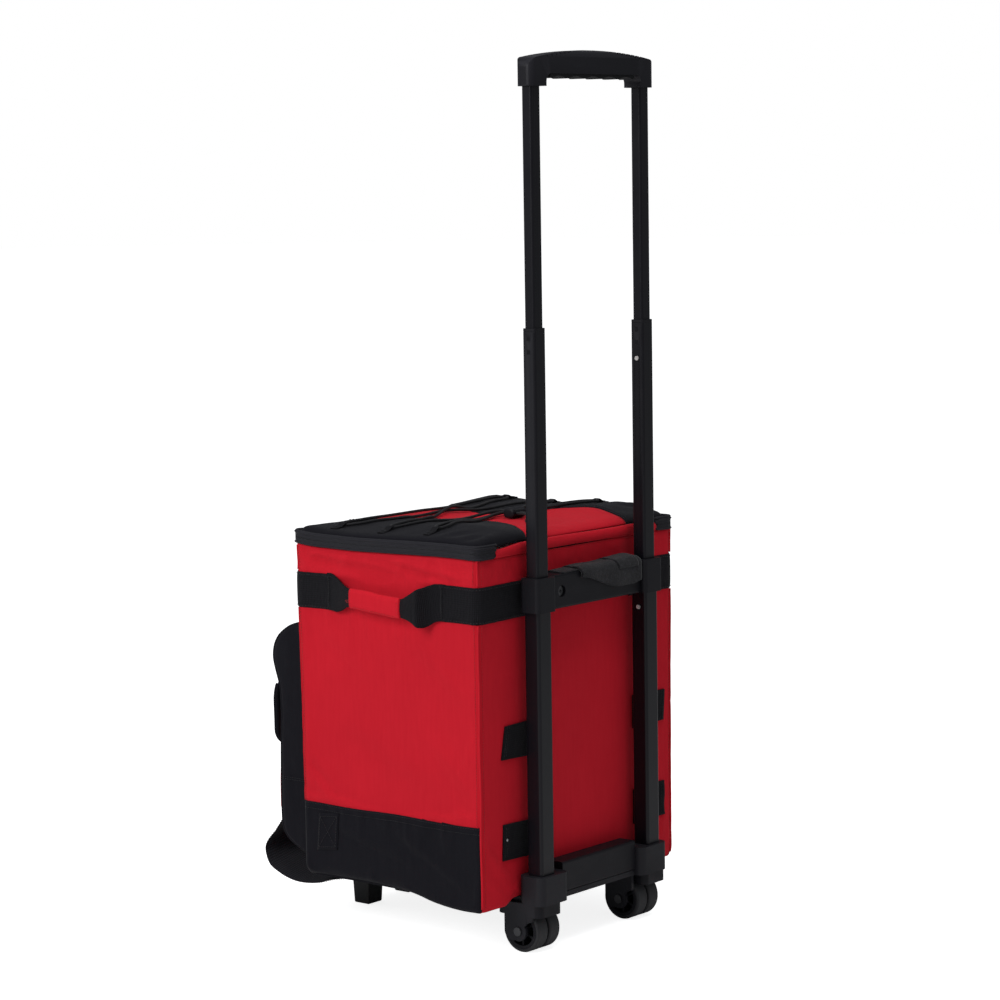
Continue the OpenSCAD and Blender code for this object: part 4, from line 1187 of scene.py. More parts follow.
def back_fold():
    """Rolled strip of fabric that hinges the lid."""
    x = np.linspace(FOLD_LO[0] - 1, FOLD_HI[0] + 1, 110)
    top = FOLD_HI[2] + 0.4 - 3.4 * smooth(95, 146, np.abs(x)) + 0.5 * np.sin(x / 33)
    low = FOLD_LO[2] + 0.6 + 0.6 * np.sin(x / 41 + 1)
    share = np.linspace(0, 1, 15)
    z = low[:, None] + (top - low)[:, None] * share[None]
    puff = 3.4 * np.sin(np.pi * share) ** 0.6 + 0.3 * np.sin(x / 7.0)[:, None] * np.sin(np.pi * share)[None]
    y = BAG_HI[1] - 0.4 + puff * np.ones_like(z)
    outer = np.stack([np.broadcast_to(x[:, None], z.shape), y, z], -1)
    out = grid_normals(outer)
    out = out * np.where(out[..., 1:2] < 0, -1, 1)
    ob = slab("back_fold", outer, outer - out * 1.2, RED, None, "red_fabric")
    fix_normals(ob)
    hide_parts("hinge_fold")
    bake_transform(ob)
    lines = [(np.stack([x, np.full_like(x, BAG_HI[1] + 0.3), low - 1.4], -1), (0, 1, 0))]
    stitches("fold_stitching", lines, RED_THREAD, "cart", "red_fabric", lift=0.1)


def hinge_lining():
    """Lining strip inside the fold, from the bag's mouth to the lid's liner."""
    low, high = cad("lid_liner")
    x = np.linspace(FOLD_LO[0] - 1, FOLD_HI[0] + 1, 60)
    foot, top = np.array([BAG_HI[1] - 2.6, BAG_HI[2] - 1.0]), np.array([high[1] - 1.0, low[2] + 0.4])
    share = np.linspace(0, 1, 13)[:, None]
    bow = 1.2 * np.sin(np.pi * share[:, 0])
    yz = foot + (top - foot) * share
    grid = np.empty((len(share), len(x), 3))
    grid[..., 0] = x[None]
    grid[..., 1] = (yz[:, 0] + bow)[:, None]
    grid[..., 2] = yz[:, 1][:, None]
    ob = leaf("hinge_lining", grid, 0.4, BLACK, None, "black_fabric")
    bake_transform(ob)


# ---------------------------------------------------------------- lid

LID_X = (-165, -110, -60, 0, 60, 110, 165)
LID_Y = (-95, -50, 10, 75, 108, 138)
LID_TOP = ((468.0, 465.5, 462.0, 461.5, 463.0, 463.0, 464.0),
           (465.0, 466.0, 464.0, 463.5, 464.5, 463.5, 461.0),
           (464.0, 467.5, 465.5, 463.5, 465.0, 466.0, 461.0),
           (468.5, 471.0, 468.5, 465.6, 466.5, 470.0, 463.0),
           (471.0, 470.5, 467.0, 465.5, 466.5, 471.0, 464.5),
           (465.0, 465.0, 464.0, 463.5, 464.5, 467.5, 461.5))


def lid_seam(y, near=True):
    """Half width of the lid's red middle: an hourglass, a little fuller on the right."""
    if near:
        return curve_through((-105, -60, -20, 20, 60, 100, 140, 156), (92, 66, 42, 31, 33, 46, 76, 88), y)
    return curve_through((-105, -60, -20, 20, 55, 95, 130, 156), (84, 62, 37, 34, 70, 104, 102, 94), y)


def lid_edge(x, y):
    """Height of the lid's bound edge, above the zip."""
    point = np.stack(np.broadcast_arrays(x, y), -1)
    side = top_edge(point) + 12.4
    back = FOLD_HI[2] + 0.2 - 2.2 * smooth(100, 150, np.abs(x))
    return np.where(np.asarray(y) > LID_HI[1] - 16, back, side)


def lid_height(x, y):
    x, y = np.broadcast_arrays(np.asarray(x, float), np.asarray(y, float))
    plateau = surface_through(LID_X, LID_Y, LID_TOP, x, y)
    r = 12.0
    dx, dy = BAG_HW - np.abs(x), np.minimum(y - LID_LO[1], LID_HI[1] - y)
    near = np.where((dx < r) & (dy < r), r - np.hypot(r - np.minimum(dx, r), r - np.minimum(dy, r)),
                    np.minimum(dx, dy))
    span = 12 + 12 * smooth(110, 150, y) * smooth(150, 90, x)
    ramp = np.sqrt(np.clip(1 - (1 - np.clip(near / span, 0, 1)) ** 2, 0, 1))
    edge = lid_edge(x, y)
    seam = np.abs(np.abs(x) - np.where(x > 0, lid_seam(y), lid_seam(y, near=False)))
    plateau = plateau + 4.2 * bell(x, 6, 26) * (bell(y, -42, 26) + bell(y, 22, 20))
    z = edge + (plateau - edge) * ramp
    z = z - 1.1 * bell(seam, 0, 3.0) * ramp
    z = z + 0.5 * ripple(x, y, 46, 5) * ramp
    pucker = bell(np.abs(x), BAG_HW - 22, 12) * smooth(70, 110, y) * smooth(150, 130, y)
    return z + 1.3 * pucker * np.sin(y / 4.5 + x / 9)


def lid_plan(x, y, r=14.0):
    """Pulls a rectangular grid's corners in to the lid's rounded outline."""
    ax = np.clip((np.abs(x) - (BAG_HW - r)) / r, 0, 1)
    ay0 = np.clip((LID_LO[1] + r - y) / r, 0, 1)
    ay1 = np.clip((y - (LID_HI[1] - 9)) / 9, 0, 1)
    ay = np.maximum(ay0, ay1)
    pull_x = ax * (1 - np.sqrt(1 - ay**2 / 2)) * r
    pull_y = ay0 * (1 - np.sqrt(1 - ax**2 / 2)) * r - ay1 * (1 - np.sqrt(1 - ax**2 / 2)) * 9
    x, y = x - np.sign(x) * pull_x, y + pull_y
    for at_x, at_y, size in ((BAG_HW, LID_LO[1], 3.6), (-BAG_HW, LID_LO[1], 3.6), (-BAG_HW, LID_HI[1], 2.0)):
        apart = np.exp(-(((x - at_x) ** 2 + (y - at_y) ** 2) / 26**2))
        x = x + size * 0.7 * np.sign(at_x) * apart
        y = y + size * 0.7 * np.sign(at_y) * apart
    return x, y


def lid_cover():
    y = np.concatenate([LID_LO[1] + np.array([0, 0.5, 1.4, 2.8, 4.6, 7, 10]),
                        np.linspace(LID_LO[1] + 13, LID_HI[1] - 13, 66),
                        LID_HI[1] - np.array([10, 7, 4.6, 2.8, 1.4, 0.5, 0])])
    near, far = lid_seam(y), lid_seam(y, near=False)
    edge = np.array([0, 0.5, 1.4, 2.8, 4.6, 7, 10]) / 40
    outer_t = np.concatenate([edge, np.linspace(0.33, 1, 20)])
    left = BAG_HW - (BAG_HW - near)[:, None] * outer_t[None]
    right = (BAG_HW - (BAG_HW - far)[:, None] * outer_t[None])[:, ::-1]
    middle = near[:, None] + (-far - near)[:, None] * np.linspace(0, 1, 41)[None]
    grids = (("lid_panel_left", left, BLACK, 0.7), ("lid_panel_middle", middle, RED, 0.0),
             ("lid_panel_right", -right, BLACK, 0.7))
    lines, made = [], []
    for name, x, material, lift in grids:
        px, py = lid_plan(x, np.broadcast_to(y[:, None], x.shape))
        z = lid_height(px, py) + lift
        outer = np.stack([px, py, z], -1)
        normal = grid_normals(outer)
        normal = normal * np.where(normal[..., 2:] < 0, -1, 1)
        uv = np.stack([x, np.broadcast_to(y[:, None], x.shape)], -1)
        made.append(slab(name, outer, outer - normal * 1.6, material, "lid",
                         "red_fabric" if lift == 0 else "black_fabric", uv=uv))
        fix_normals(made[-1])
        if lift == 0:
            continue
        for shift in (1.6, 6.0):
            xs = near + shift if x.mean() > 0 else -far - shift
            inside = slice(4, -4)
            pts = np.stack([xs, y, lid_height(xs, y) + lift], -1)[inside]
            lines.append((pts, (0, 0, 1)))
    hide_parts("lid_cover")
    stitches("lid_stitching", lines, BLACK_THREAD, "lid", "black_fabric", length=3.0, radius=0.34, lift=0.0)


def lid_binding():
    """Piping round the lid's edge and the bound skirt under it that meets the liner."""
    s = zip_run()
    point, out = OUTLINE.at(s)
    line = point + out * (1.2 + 0.9 * corner_swell(s))[:, None]
    line[:, 2] = lid_edge(point[:, 0], np.minimum(point[:, 1], LID_HI[1] - 17)) + 0.6
    tube("lid_piping", line, 1.5, ZIP_TAPE, "lid", "black_fabric")
    profile = ((0.6, 0.2), (-1.2, 0.6), (-5.5, -4.4), (-5.5, -5.9), (-1.0, -5.2), (0.4, -4.6))
    outer = [ring(point, out, off, LID_ZIP_HI[2] + dz - (0 if dz > 0 else 0.4)) for off, dz in profile]
    loft("lid_skirt", np.stack(outer, 1), BLACK, "lid", "black_fabric")


# ---------------------------------------------------------------- cord on the lid

def half_cord():
    """Half of the cord's route over the lid: tail, lock, then loop by loop to the front middle."""
    return [(24, 106, 4), (15, 99, 4.3), (6, 90, 4.5), (3, 78, 4.5), (3, 66, 4.5), (3, 54, 4.5),
            (10, 48, 4.5), (26, 50, 3), (60, 60, 0.6), (110, 73, 0.6), (140, 79, 2), (147, 75, 2.4),
            (141, 70, 2), (100, 61, 0.6), (40, 49, 0.6), (0, 41, 0), (-50, 31, 0.6), (-100, 20, 0.6),
            (-141, 12, 2), (-147, 8, 2.4), (-141, 4, 2), (-100, -5, 0.6), (-40, -18, 0.6), (0, -27, 0),
            (50, -38, 0.6), (100, -49, 0.6), (141, -57, 2), (147, -62, 2.4), (141, -67, 2),
            (100, -71, 0.6), (50, -73, 0)]


CORD_R = 1.7
CORD_Z = LID_HI[2] + CORD_R + 0.3


def cord_points(side):
    out = []
    for x, y, rise in half_cord():
        x = x * side if y < 85 else x + 3 * side - 3
        cad_z = CORD_Z + rise
        on_lid = float(lid_height(x, y)) + CORD_R + 0.9 + (0.6 if abs(x) > 135 else 0.2)
        if side < 0 and x == 0:
            on_lid += 3.6
        near_lock = float(smooth(30, 12, abs(x)) * smooth(44, 52, y) * smooth(104, 92, y))
        out.append((x, y, on_lid * (1 - near_lock) + max(cad_z, on_lid) * near_lock))
    return out


def lid_cord():
    front = (0, -73, float(lid_height(0, -73)) + CORD_R + 0.9)
    path = cord_points(1) + [front] + cord_points(-1)[::-1]
    line = resample(path, 2.6)
    floor = lid_height(line[:, 0], line[:, 1]) + CORD_R + 0.7
    line[:, 2] = np.maximum(line[:, 2], floor)
    ob = tube("elastic_cord", line, CORD_R, CORD, "lid", "elastic_cord", sides=12)
    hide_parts("bungee_cord")
    knots = []
    for k, end in enumerate((line[0], line[-1])):
        away = unit(end - (line[3] if k == 0 else line[-4]))
        rings, a = [], round_angles(14)
        side = unit(np.cross(away, (0, 0, 1)))
        up = np.cross(side, away)
        for t, radius in ((-1.5, 1.0), (-1.2, 2.3), (0.5, 2.8), (2.4, 2.7), (3.8, 1.9), (4.4, 0.6)):
            rings.append(end + away * t + radius * (np.cos(a)[:, None] * side + np.sin(a)[:, None] * up))
        knots.append(loft(f"cord_end_{k}", rings, CORD, "lid", "elastic_cord"))
        soften(knots[-1])


def cord_loops():
    """Sewn webbing loops along the lid's sides, each folded round the cord and tacked down."""
    first, lines = None, []
    for name, sign in SIDES:
        for k, y in enumerate((-62, 8, 75)):
            def base(x):
                return float(lid_height(sign * x, y)) + 0.9

            ends = [(163, 0.5), (158, 0.8), (153.5, 1.2), (149.5, 2.8), (145.5, 4.4), (143.2, 3.6),
                    (143.6, 2.0), (147, 0.8), (153, 0.2), (162, -0.2)]
            path = resample([(sign * x, y, base(x) + rise) for x, rise in ends], 1.2)
            ob = strap(f"cord_loop_{name}_{k}", path, (0, 1, 0), 9.0, 1.1, WEBBING, "lid", "webbing", cols=7)
            fix_normals(ob)
            first = first or ob
            z = base(157) + 1.2
            zig = zigzag(16, 0.9)
            lines.append((np.stack([sign * (156 + zig), np.linspace(y - 3.8, y + 3.8, 16),
                                    np.full(16, z + 0.5)], -1), (0, 0, 1)))
    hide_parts("cord_loops")
    stitches("loop_tacks", lines, BLACK_THREAD, "lid", "webbing", length=1.7, space=0.1, radius=0.3)


def cord_lock():
    """Barrel cord lock with moulded finger ribs, and its push button."""
    low, high = LOCK_LO, LOCK_HI
    mid = (low + high) / 2
    a = round_angles(36)

    def barrel(name, xs, radii, body, replaced):
        rings = []
        for x, (ry, rz) in zip(xs, radii):
            cy = squared(np.cos(a), 0.8) * ry
            cz = squared(np.sin(a), 0.8) * rz
            rings.append(np.stack([np.full_like(a, x), mid[1] + cy, mid[2] + cz], -1))
        ob = loft(name, rings, GRIP, body, "grip_plastic")
        soften(ob)
        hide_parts(replaced)

    ry, rz = (high[1] - low[1]) / 2, (high[2] - low[2]) / 2
    xs = [low[0] + 0.2, low[0] + 0.2, low[0] + 0.8]
    radii = [(ry * 0.55, rz * 0.55), (ry * 0.9, rz * 0.9), (ry, rz)]
    for k in range(6):
        x = low[0] + 2.4 + k * 3.0
        xs += [x, x + 0.5, x + 1.1, x + 1.6]
        radii += [(ry, rz), (ry * 0.9, rz * 0.88), (ry * 0.9, rz * 0.88), (ry, rz)]
    xs += [high[0] - 1.4, high[0] - 0.4, high[0]]
    radii += [(ry, rz), (ry * 0.86, rz * 0.86), (ry * 0.5, rz * 0.5)]
    barrel("lock_barrel", xs, radii, "cord_lock_body", "cord_lock")
    b_low, b_high = cad("lock_button")
    r = (b_high[2] - b_low[2]) / 2
    xs = [b_low[0], b_low[0] + 0.3, b_low[0] + 1.0, b_low[0] + 1.8, b_low[0] + 2.2, b_low[0] + 2.8, b_high[0]]
    radii = [(r * share,) * 2 for share in (0.4, 0.86, 1, 1, 0.85, 0.85, 0.85)]
    barrel("lock_plunger", xs, radii, "lock_button_body", "lock_button")


# ---------------------------------------------------------------- front pockets

PROFILE_Z = (81, 86, 95, 104, 113, 150, 200, 245, 273, 290, 307, 323, 334, 345, 350, 352)
PROFILE_D = (8, 26, 45, 54, 56.5, 57.2, 56, 54, 55, 61, 65.8, 63, 54.8, 38, 20, 4)


def pocket_sections(z, depth, hw, r, bulge=0.0, seed=1):
    """Horizontal sections of a pocket: the bag's face behind, rounded upright edges in front."""
    loops = []
    for zz, d in zip(z, depth):
        rr = min(r, 0.8 * d)
        a = np.linspace(0, np.pi / 2, 8)
        side = np.linspace(0, 1, 9)[:-1]
        left = [(hw, BAG_LO[1] + 0.2 - (d - rr) * t) for t in side]
        left += [(hw - rr + rr * np.cos(t), BAG_LO[1] + 0.2 - (d - rr) - rr * np.sin(t)) for t in a]
        across = [(x, BAG_LO[1] + 0.2 - d) for x in np.linspace(hw - rr, rr - hw, 46)[1:-1]]
        right = [(-x, y) for x, y in left[::-1]]
        back = [(x, BAG_LO[1] + 0.2) for x in np.linspace(-hw, hw, 30)[1:-1]]
        outline = np.array(left + across + right + back)
        x, y = outline[:, 0], outline[:, 1]
        free = np.clip((BAG_LO[1] - y) / max(d, 1), 0, 1) * (1 if d > 12 else 0.2)
        n = 1.3 * ripple(x + 1.7 * y, np.full_like(x, zz), 42, seed)
        y = y - np.abs(n) * free - bulge * free * np.cos(np.pi * x / (2 * hw)) ** 0.6 * smooth(100, 130, zz)
        x = x + np.sign(x) * 1.2 * n * smooth(0.0, 0.3, free) * smooth(0.98, 0.6, free)
        loops.append(np.stack([x, y, np.full_like(x, zz)], -1))
    return loops


def front_pocket():
    t = np.linspace(0, 1, 74)
    arc = np.concatenate([[0], np.cumsum(np.hypot(np.diff(PROFILE_Z), np.diff(PROFILE_D)))])
    z = np.interp(t * arc[-1], arc, PROFILE_Z)
    depth = np.interp(t * arc[-1], arc, PROFILE_D)
    z = np.convolve(np.pad(z, 2, "edge"), (0.1, 0.2, 0.4, 0.2, 0.1), "valid")
    depth = np.convolve(np.pad(depth, 2, "edge"), (0.1, 0.2, 0.4, 0.2, 0.1), "valid")
    hw = POCKET_HI[0]
    body = loft("pocket_body", pocket_sections(z, depth, hw, 10, 1.5), BLACK, "cart", "black_fabric")
    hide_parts("front_pocket")
    # piping along both edges between the front and the gussets, and a gusset seam
    lines = []
    for sign in (1, -1):
        line = np.array([(sign * (hw - 2.9), BAG_LO[1] + 0.2 - d + 2.7, zz)
                         for zz, d in zip(z, depth) if d > 14])
        tube(f"pocket_piping_{'left' if sign > 0 else 'right'}", line, 1.7, BLACK, "cart", "black_fabric")
        y = np.linspace(BAG_LO[1] - 2, BAG_LO[1] - 50, 20)
        for zz in (166.5, 168.8):
            lines.append((np.stack([np.full(20, sign * (hw + 0.9)), y, np.full(20, zz)], -1), (sign, 0, 0)))
    stitches("gusset_stitching", lines, BLACK_THREAD, "cart", "black_fabric", lift=0.1)
    pocket_zip(z, depth)


def pocket_zip(z, depth):
    """Zip across the top of the main pocket: one tape strip, raised along its middle."""
    low, high = cad("pocket_zip")
    x = np.linspace(low[0], high[0], 90)
    y_mid = (low[1] + high[1]) / 2
    d = BAG_LO[1] - y_mid
    top = float(np.interp(-d, -depth[::-1][: 30], z[::-1][: 30]))
    rows = []
    for off, rise in ((-7, -0.6), (-6, 0.5), (-2.0, 0.8), (-1.4, 1.5), (0, 2.0), (1.4, 1.5),
                      (2.0, 0.8), (6, 0.5), (7, -0.6)):
        y = y_mid + off
        base = float(np.interp(-(BAG_LO[1] - y), -depth[::-1][:30], z[::-1][:30]))
        rows.append(np.stack([x, np.full_like(x, y), np.full_like(x, max(base, top - 4) + rise + 0.8)], -1))
    outer = np.array(rows)
    ob = slab("pocket_zip_tape", outer, outer - [0, 0, 1.6], ZIP_TAPE, "cart", "zip_tape")
    fix_normals(ob)
    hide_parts("pocket_zip")


def lower_pocket():
    """Open pouch on the pocket's front, bound along its mouth."""
    low, high = POUCH_LO, POUCH_HI
    hw = high[0] - 5
    z = np.linspace(low[2], high[2], 44)
    loops = []
    for zz in z:
        mouth = smooth(high[2] - 60, high[2], zz)
        drawn_in = smooth(150, 235, zz)
        front, back = low[1] + 3.6 + 4.3 * drawn_in, POCKET_LO[1] - 1.0 + 3.9 * drawn_in
        d = (back - front) * (0.35 + 0.65 * smooth(low[2] - 2, low[2] + 25, zz))
        wide = hw - 8 * smooth(low[2] + 30, low[2] + 14, zz)
        x = np.concatenate([np.linspace(wide, -wide, 71), np.linspace(-wide, wide, 71)[1:-1]])
        ahead = np.concatenate([np.ones(71), np.zeros(69)])
        edge = np.sqrt(np.clip(1 - np.clip((np.abs(x) - (wide - 9)) / 9, 0, 1) ** 2, 0, 1))
        sag = 1.2 * ripple(x, np.full_like(x, zz), 38, 9) * mouth
        y = back - ahead * (d * edge + np.minimum(sag, 0.4))
        y = np.where(ahead > 0, np.minimum(y, back - 0.9), back + 1.0)
        loops.append(np.stack([x, y, np.full_like(x, zz)], -1))
    ob = loft("lower_pocket_front", loops, RED, "cart", "red_fabric")
    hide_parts("lower_pocket")
    top = loops[-1][:71]
    tube("lower_pocket_binding", resample(top + [0, 0.4, 0.6], 3), 1.3, BLACK, "cart", "black_fabric")
    lines = [(loops[4][2:69] + [0, -0.1, 0], (0, -1, 0)), (loops[-4][2:69] + [0, -0.1, 0], (0, -1, 0))]
    stitches("pouch_stitching", lines, RED_THREAD, "cart", "red_fabric", lift=0.1)


def pocket_flap():
    """Flap that folds over the pouch's mouth, bound along its edge."""
    low, high = FLAP_LO, FLAP_HI
    hw = high[0] - 1
    x = np.linspace(-1, 1, 80)
    fold = np.array([(POCKET_LO[1] + 2.6, high[2] + 4.5), (POCKET_LO[1] + 0.4, high[2] + 1.0),
                     (low[1] + 9.6, high[2] - 8), (low[1] + 8.7, high[2] - 34), (low[1] + 8.7, low[2])])
    line = resample(fold, 3.1)
    reach = np.linspace(0, 1, len(line))
    round_off = 20 * (1 - np.sqrt(np.clip(1 - ((reach - 0.75) / 0.25).clip(0, 1) ** 2, 0, 1)))
    grid = np.empty((len(line), len(x), 3))
    grid[..., 0] = x[None] * (hw - round_off[:, None])
    wave = 0.9 * ripple(x[None] * hw, reach[:, None] * 70, 50, 12)
    grid[..., 1] = line[:, None, 0] + np.minimum(wave, 0.6) * reach[:, None]
    grid[..., 2] = line[:, None, 1]
    out = grid_normals(grid)
    out = out * np.where(out[..., 1:2] - 0.3 * out[..., 2:] > 0, -1, 1)
    ob = slab("pocket_flap_panel", grid, grid - out * 1.8, BLACK, "flap", "black_fabric")
    fix_normals(ob)
    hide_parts("pocket_flap")
    edge = np.concatenate([grid[1:-1, 0], grid[-1, 1:-1], grid[-2:0:-1, -1]])
    tube("flap_binding", resample(edge - [0, 0.9, 0], 3), 1.3, BLACK, "flap", "black_fabric")
    inner = np.concatenate([grid[5:-3, 3], grid[-3, 4:-4], grid[-4:4:-1, -4]])
    stitches("flap_stitching", [(inner, (0, -1, 0))], BLACK_THREAD, "flap", "black_fabric", lift=0.1)


def strap_loops():
    """Loops of wide webbing from the pouch's foot to the bag's underside, slightly twisted."""
    near = [(-158, 122), (-172, 104), (-191, 78), (-185, 61), (-169, 52), (-150, 46.5),
            (-112, 47.5), (-82, 56), (-52, 61)]
    far = [(-160, 130), (-177, 114), (-189.5, 95), (-176, 77), (-157, 67), (-129, 60),
           (-104, 58.5), (-87, 59), (-52, 61)]
    near, far = resample(near, 3.0), resample(far, 3.0)
    n = min(len(near), len(far))
    near, far = (p[np.round(np.linspace(0, len(p) - 1, n)).astype(int)] for p in (near, far))
    x0, x1 = cad("front_strap_loops")[1][0], 110.0
    first, lines = None, []
    for name, sign in SIDES:
        share = np.linspace(0, 1, 15)
        yz = near[:, None] + (far - near)[:, None] * share[None, :, None]
        x = sign * (x0 + (x1 - x0) * share)
        grid = np.concatenate([np.broadcast_to(x[None, :, None], yz.shape[:2] + (1,)), yz], -1)
        out = grid_normals(grid)
        crown = (0.8 * (1 - np.abs(2 * share - 1) ** 7))[None, :, None]
        ob = leaf("strap_loop_" + name, grid, crown, STRAP, "cart", "webbing")
        first = first or ob
        for c in (1, -2):
            lines.append((grid[:, c] + out[:, c] * 0.8, out[:, c]))
    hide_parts("front_strap_loops")
    stitches("strap_stitching", lines, BLACK_THREAD, "cart", "webbing", lift=0.0)


# ---------------------------------------------------------------- strap over the upper bracket

def bracket_wrap():
    """Hook-and-loop strap laid along the bar's top and wrapped over it at one end."""
    top = CLAMP_HI[2]
    bar_front, bar_rear = BAG_HI[1] + 0.5, WRAP_HI[1] - 2.7
    x = np.linspace(58, -40, 40)
    y = np.linspace(bar_front + 3, bar_rear - 1.5, 10)
    z = (top + 1.5 + 0.7 * np.sin(x / 17)[:, None] + 0.4 * np.sin(y / 5)[None]
         + 1.0 * smooth(10, -40, x)[:, None])
    grid = np.stack([np.broadcast_to(x[:, None], z.shape), np.broadcast_to(y[None], z.shape), z], -1)
    lay = slab("wrap_run", grid, grid - [0, 0, 1.4], WRAP, "cart", "hook_and_loop")
    fix_normals(lay)
    path = resample([(0, bar_front - 1.5, top - 14), (0, bar_front - 1.0, top - 3),
                     (0, bar_front + 3, top + 2.6), (0, bar_front + 13, top + 3.2),
                     (0, bar_rear - 3, top + 3.0), (0, bar_rear + 2.4, top - 0.6),
                     (0, bar_rear + 2.9, top - 8), (0, bar_rear + 2.6, top - 25)], 1.8)
    x = np.linspace(30, -80, 44)
    drop = np.linspace(0, 1, len(path))[:, None]
    grid = np.empty((len(path), len(x), 3))
    grid[..., 0] = x[None]
    grid[..., 1] = path[:, 1][:, None] + 0.5 * np.sin(x / 8)[None] * smooth(0.5, 0.9, drop)
    short = (17.5 * smooth(-40, 30, x)[None] * smooth(0.62, 1.0, drop)
             + 2.5 * smooth(-66, -80, x)[None] * drop**4)
    grid[..., 2] = path[:, 2][:, None] + 0.5 * np.sin(x / 7)[None] * np.sin(np.pi * drop) + short
    over = leaf("wrap_over", grid, 0.9, WRAP, "cart", "hook_and_loop")
    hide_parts("crossbar_wrap")
    path = resample([(0, bar_front - 2.5, top - 9), (0, bar_front + 1, top + 3.5),
                     (0, bar_front + 9, top + 6.4), (0, bar_rear - 7, top + 6.2),
                     (0, bar_rear + 1.5, top + 3.6), (0, bar_rear + 4.4, top - 1.5),
                     (0, bar_rear + 4.0, top - 5)], 1.5)
    x = np.linspace(-33, -70, 20)
    rise = np.sin(np.pi * np.linspace(0, 1, len(path)))[:, None]
    grid = np.empty((len(path), len(x), 3))
    grid[..., 0] = x[None] - 3.0 * (1 - rise)
    grid[..., 1] = path[:, 1][:, None]
    grid[..., 2] = path[:, 2][:, None] + (0.5 * np.sin(x / 6) - 1.6 * smooth(-46, -33, x))[None] * rise
    leaf("wrap_loop", grid, 0.9, WRAP, "cart", "hook_and_loop")


# ---------------------------------------------------------------- mouth of the bag

def foam_block():
    """Foam between the fabric and the liner, eased off a little round its lower edges."""
    s = np.arange(0, OUTLINE.length, 4.0)
    point, out = OUTLINE.at(s)
    low, high = cad("bag_liner")
    top = BAG_HI[2] - 6
    profile = ((22, 65.5), (12, 66), (7.5, 70), (5.0, 80), (5.0, top), (9.5, top))
    rows = [ring(point, out, -inset, z) for inset, z in profile]
    for z in np.linspace(top, low[2] + 8, 5):
        p = np.clip(point - out * 9.5, [low[0] - 0.2, low[1] - 0.2, 0], [high[0] + 0.2, high[1] + 0.2, 1])
        p[:, 2] = z
        rows.append(p)
    p = p * [0.97, 0.97, 0] + [0, 0.8, low[2] - 0.3]
    rows.append(p)
    ob = loft("foam_walls", rows, FOAM, "cart", "insulation_foam")
    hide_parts("foam_insulation")


def lid_pad():
    """Foam pad inside the lid, following the cover from below."""
    low, high = cad("lid_foam")
    x = np.linspace(low[0] + 2, high[0] - 2, 60)
    y = np.linspace(low[1] + 3, high[1] - 3, 44)
    gx, gy = lid_plan(*np.meshgrid(x, y))
    top = np.maximum(lid_height(gx, gy) - 2.6, low[2] + 1.2)
    upper = np.stack([gx, gy, top], -1)
    lower = np.stack([gx, gy, np.full_like(gx, low[2] + 0.1)], -1)
    ob = slab("lid_pad", upper, lower, FOAM, "lid", "insulation_foam")
    fix_normals(ob)
    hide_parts("lid_foam")


def mouth_binding():
    """Bound edge over the foam and the liner round the bag's mouth."""
    s = np.arange(0, OUTLINE.length, 4.0)
    point, out = OUTLINE.at(s)
    profile = ((-1.6, -7), (-1.5, 0.4), (-3.0, 1.4), (-8.5, 1.4), (-10.6, 0.6), (-11.2, -8), (-10.2, -8),
               (-9.6, -1.2), (-3.0, -1.0), (-2.4, -7))
    loops = np.stack([ring(point, out, off, BAG_HI[2] - 1.2 + z) for off, z in profile], 1)
    verts = loops.reshape(-1, 3)
    n, cols = loops.shape[:2]
    faces = []
    for r in range(n):
        for c in range(cols):
            faces.append((r * cols + c, ((r + 1) % n) * cols + c, ((r + 1) % n) * cols + (c + 1) % cols,
                          r * cols + (c + 1) % cols))
    fix_normals(make("mouth_binding", verts, faces, BLACK, "cart", "black_fabric", uvs=verts[:, :2]))


def soft_goods():
    bag_body()
    lower_panels()
    corner_seams()
    webbing_bands()
    side_handles()
    sewn_patches()
    rear_tabs()
    zip_half("rim_zip_tape", False, "cart", "rim_zip")
    zip_half("lid_zip_tape", True, "lid", "lid_zip")
    back_fold()
    hinge_lining()
    lid_cover()
    lid_binding()
    lid_cord()
    cord_loops()
    cord_lock()
    front_pocket()
    lower_pocket()
    pocket_flap()
    strap_loops()
    bracket_wrap()
    mouth_binding()
    foam_block()
    lid_pad()


# ---------------------------------------------------------------- stage, lights and camera

ROOM_LIGHT = 0.27
FLOOR_GLOW = 0.84
LAMP_SIZE = (1.8, 1.8)
KEY_AT, KEY_POWER = (3.1, -0.5, 2.15), 71
TOP_AT, TOP_POWER = (0.5, 0.8, 3.3), 41
LAMPS_AIM = (0, 0, 0.35)
CAMERA_AT = (2.6665, 2.2309, 0.8695)
CAMERA_BEARING, CAMERA_DIP, CAMERA_ROLL = 50.685, -6.354, -0.858
CAMERA_LENS = 109.64


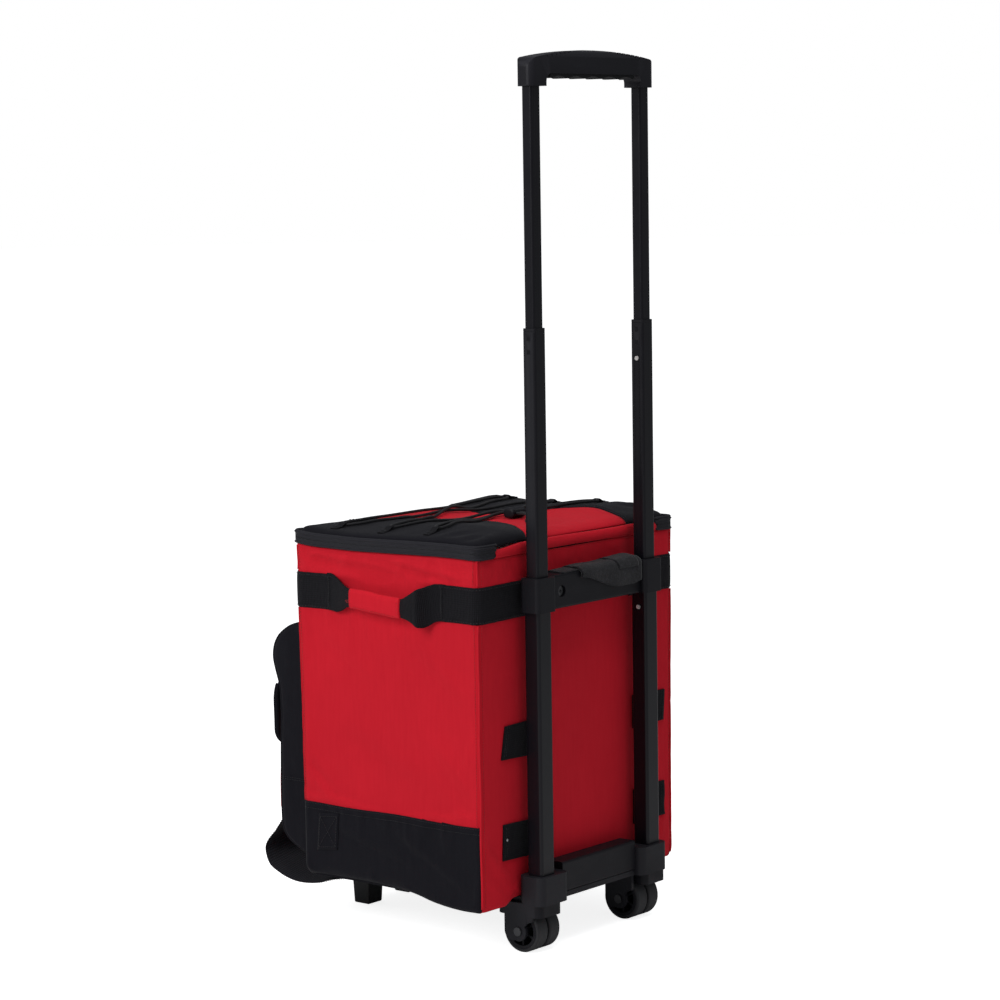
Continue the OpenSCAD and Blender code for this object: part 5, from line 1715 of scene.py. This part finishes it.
def stage_and_lights():
    scene = bpy.context.scene
    scene.view_settings.view_transform = "Standard"
    world = bpy.data.worlds.new("studio")
    world.use_nodes = True
    nodes, links = world.node_tree.nodes, world.node_tree.links
    room = nodes["Background"]
    room.inputs["Color"].default_value = (0.93, 0.96, 1.0, 1)
    room.inputs["Strength"].default_value = ROOM_LIGHT
    kinds = ("Background", "MixShader", "LightPath")
    backdrop, mix, path = (nodes.new("ShaderNode" + kind) for kind in kinds)
    backdrop.inputs["Color"].default_value = (1, 1, 1, 1)
    links.new(path.outputs["Is Camera Ray"], mix.inputs[0])
    links.new(room.outputs[0], mix.inputs[1])
    links.new(backdrop.outputs[0], mix.inputs[2])
    links.new(mix.outputs[0], nodes["World Output"].inputs[0])
    scene.world = world

    bpy.ops.mesh.primitive_circle_add(vertices=96, radius=30, fill_type="NGON")
    floor = bpy.context.object
    floor.name = "floor"
    p = Paint("floor_paper", 0.9, Specular_IOR_Level=0.1)
    grain = p.noise(40, detail=4)
    seen = p.add("LightPath").outputs["Is Camera Ray"]
    p.shader.inputs["Emission Color"].default_value = (1, 1, 1, 1)
    p.put(p.shader.inputs["Emission Strength"], p.times(seen, FLOOR_GLOW))
    floor.data.materials.append(p.finish(p.blend(grain, (0.93, 0.93, 0.93), (0.95, 0.95, 0.95)),
                                         p.spread(grain, 0.85, 0.95), [(grain, 0.02, 0.001)]))

    def area(name, at, power):
        light = bpy.data.lights.new(name, "AREA")
        light.shape, light.energy = "RECTANGLE", power
        light.size, light.size_y = LAMP_SIZE
        ob = bpy.data.objects.new(name, light)
        ob.location = at
        ob.rotation_euler = (Vector(LAMPS_AIM) - Vector(at)).to_track_quat("-Z", "Y").to_euler()
        scene.collection.objects.link(ob)

    area("key", KEY_AT, KEY_POWER)
    area("top", TOP_AT, TOP_POWER)


def add_camera():
    """The photograph's viewpoint: from the left rear, a little above the bag."""
    camera = bpy.data.cameras.new("camera")
    camera.sensor_width, camera.lens = 36.0, CAMERA_LENS
    camera.clip_start, camera.clip_end = 0.1, 100
    ob = bpy.data.objects.new("camera", camera)
    bearing, dip, roll = (math.radians(a) for a in (CAMERA_BEARING, CAMERA_DIP, CAMERA_ROLL))
    forward = Vector((-math.sin(bearing) * math.cos(dip), -math.cos(bearing) * math.cos(dip), math.sin(dip)))
    right = forward.cross(Vector((0, 0, 1))).normalized()
    up = right.cross(forward)
    right, up = (right * math.cos(roll) + up * math.sin(roll), up * math.cos(roll) - right * math.sin(roll))
    turn = Matrix((right, up, -forward)).transposed().to_4x4()
    ob.matrix_world = Matrix.Translation(CAMERA_AT) @ turn
    bpy.context.scene.collection.objects.link(ob)
    bpy.context.scene.camera = ob


add_camera()
stage_and_lights()
hard_parts()
soft_goods()
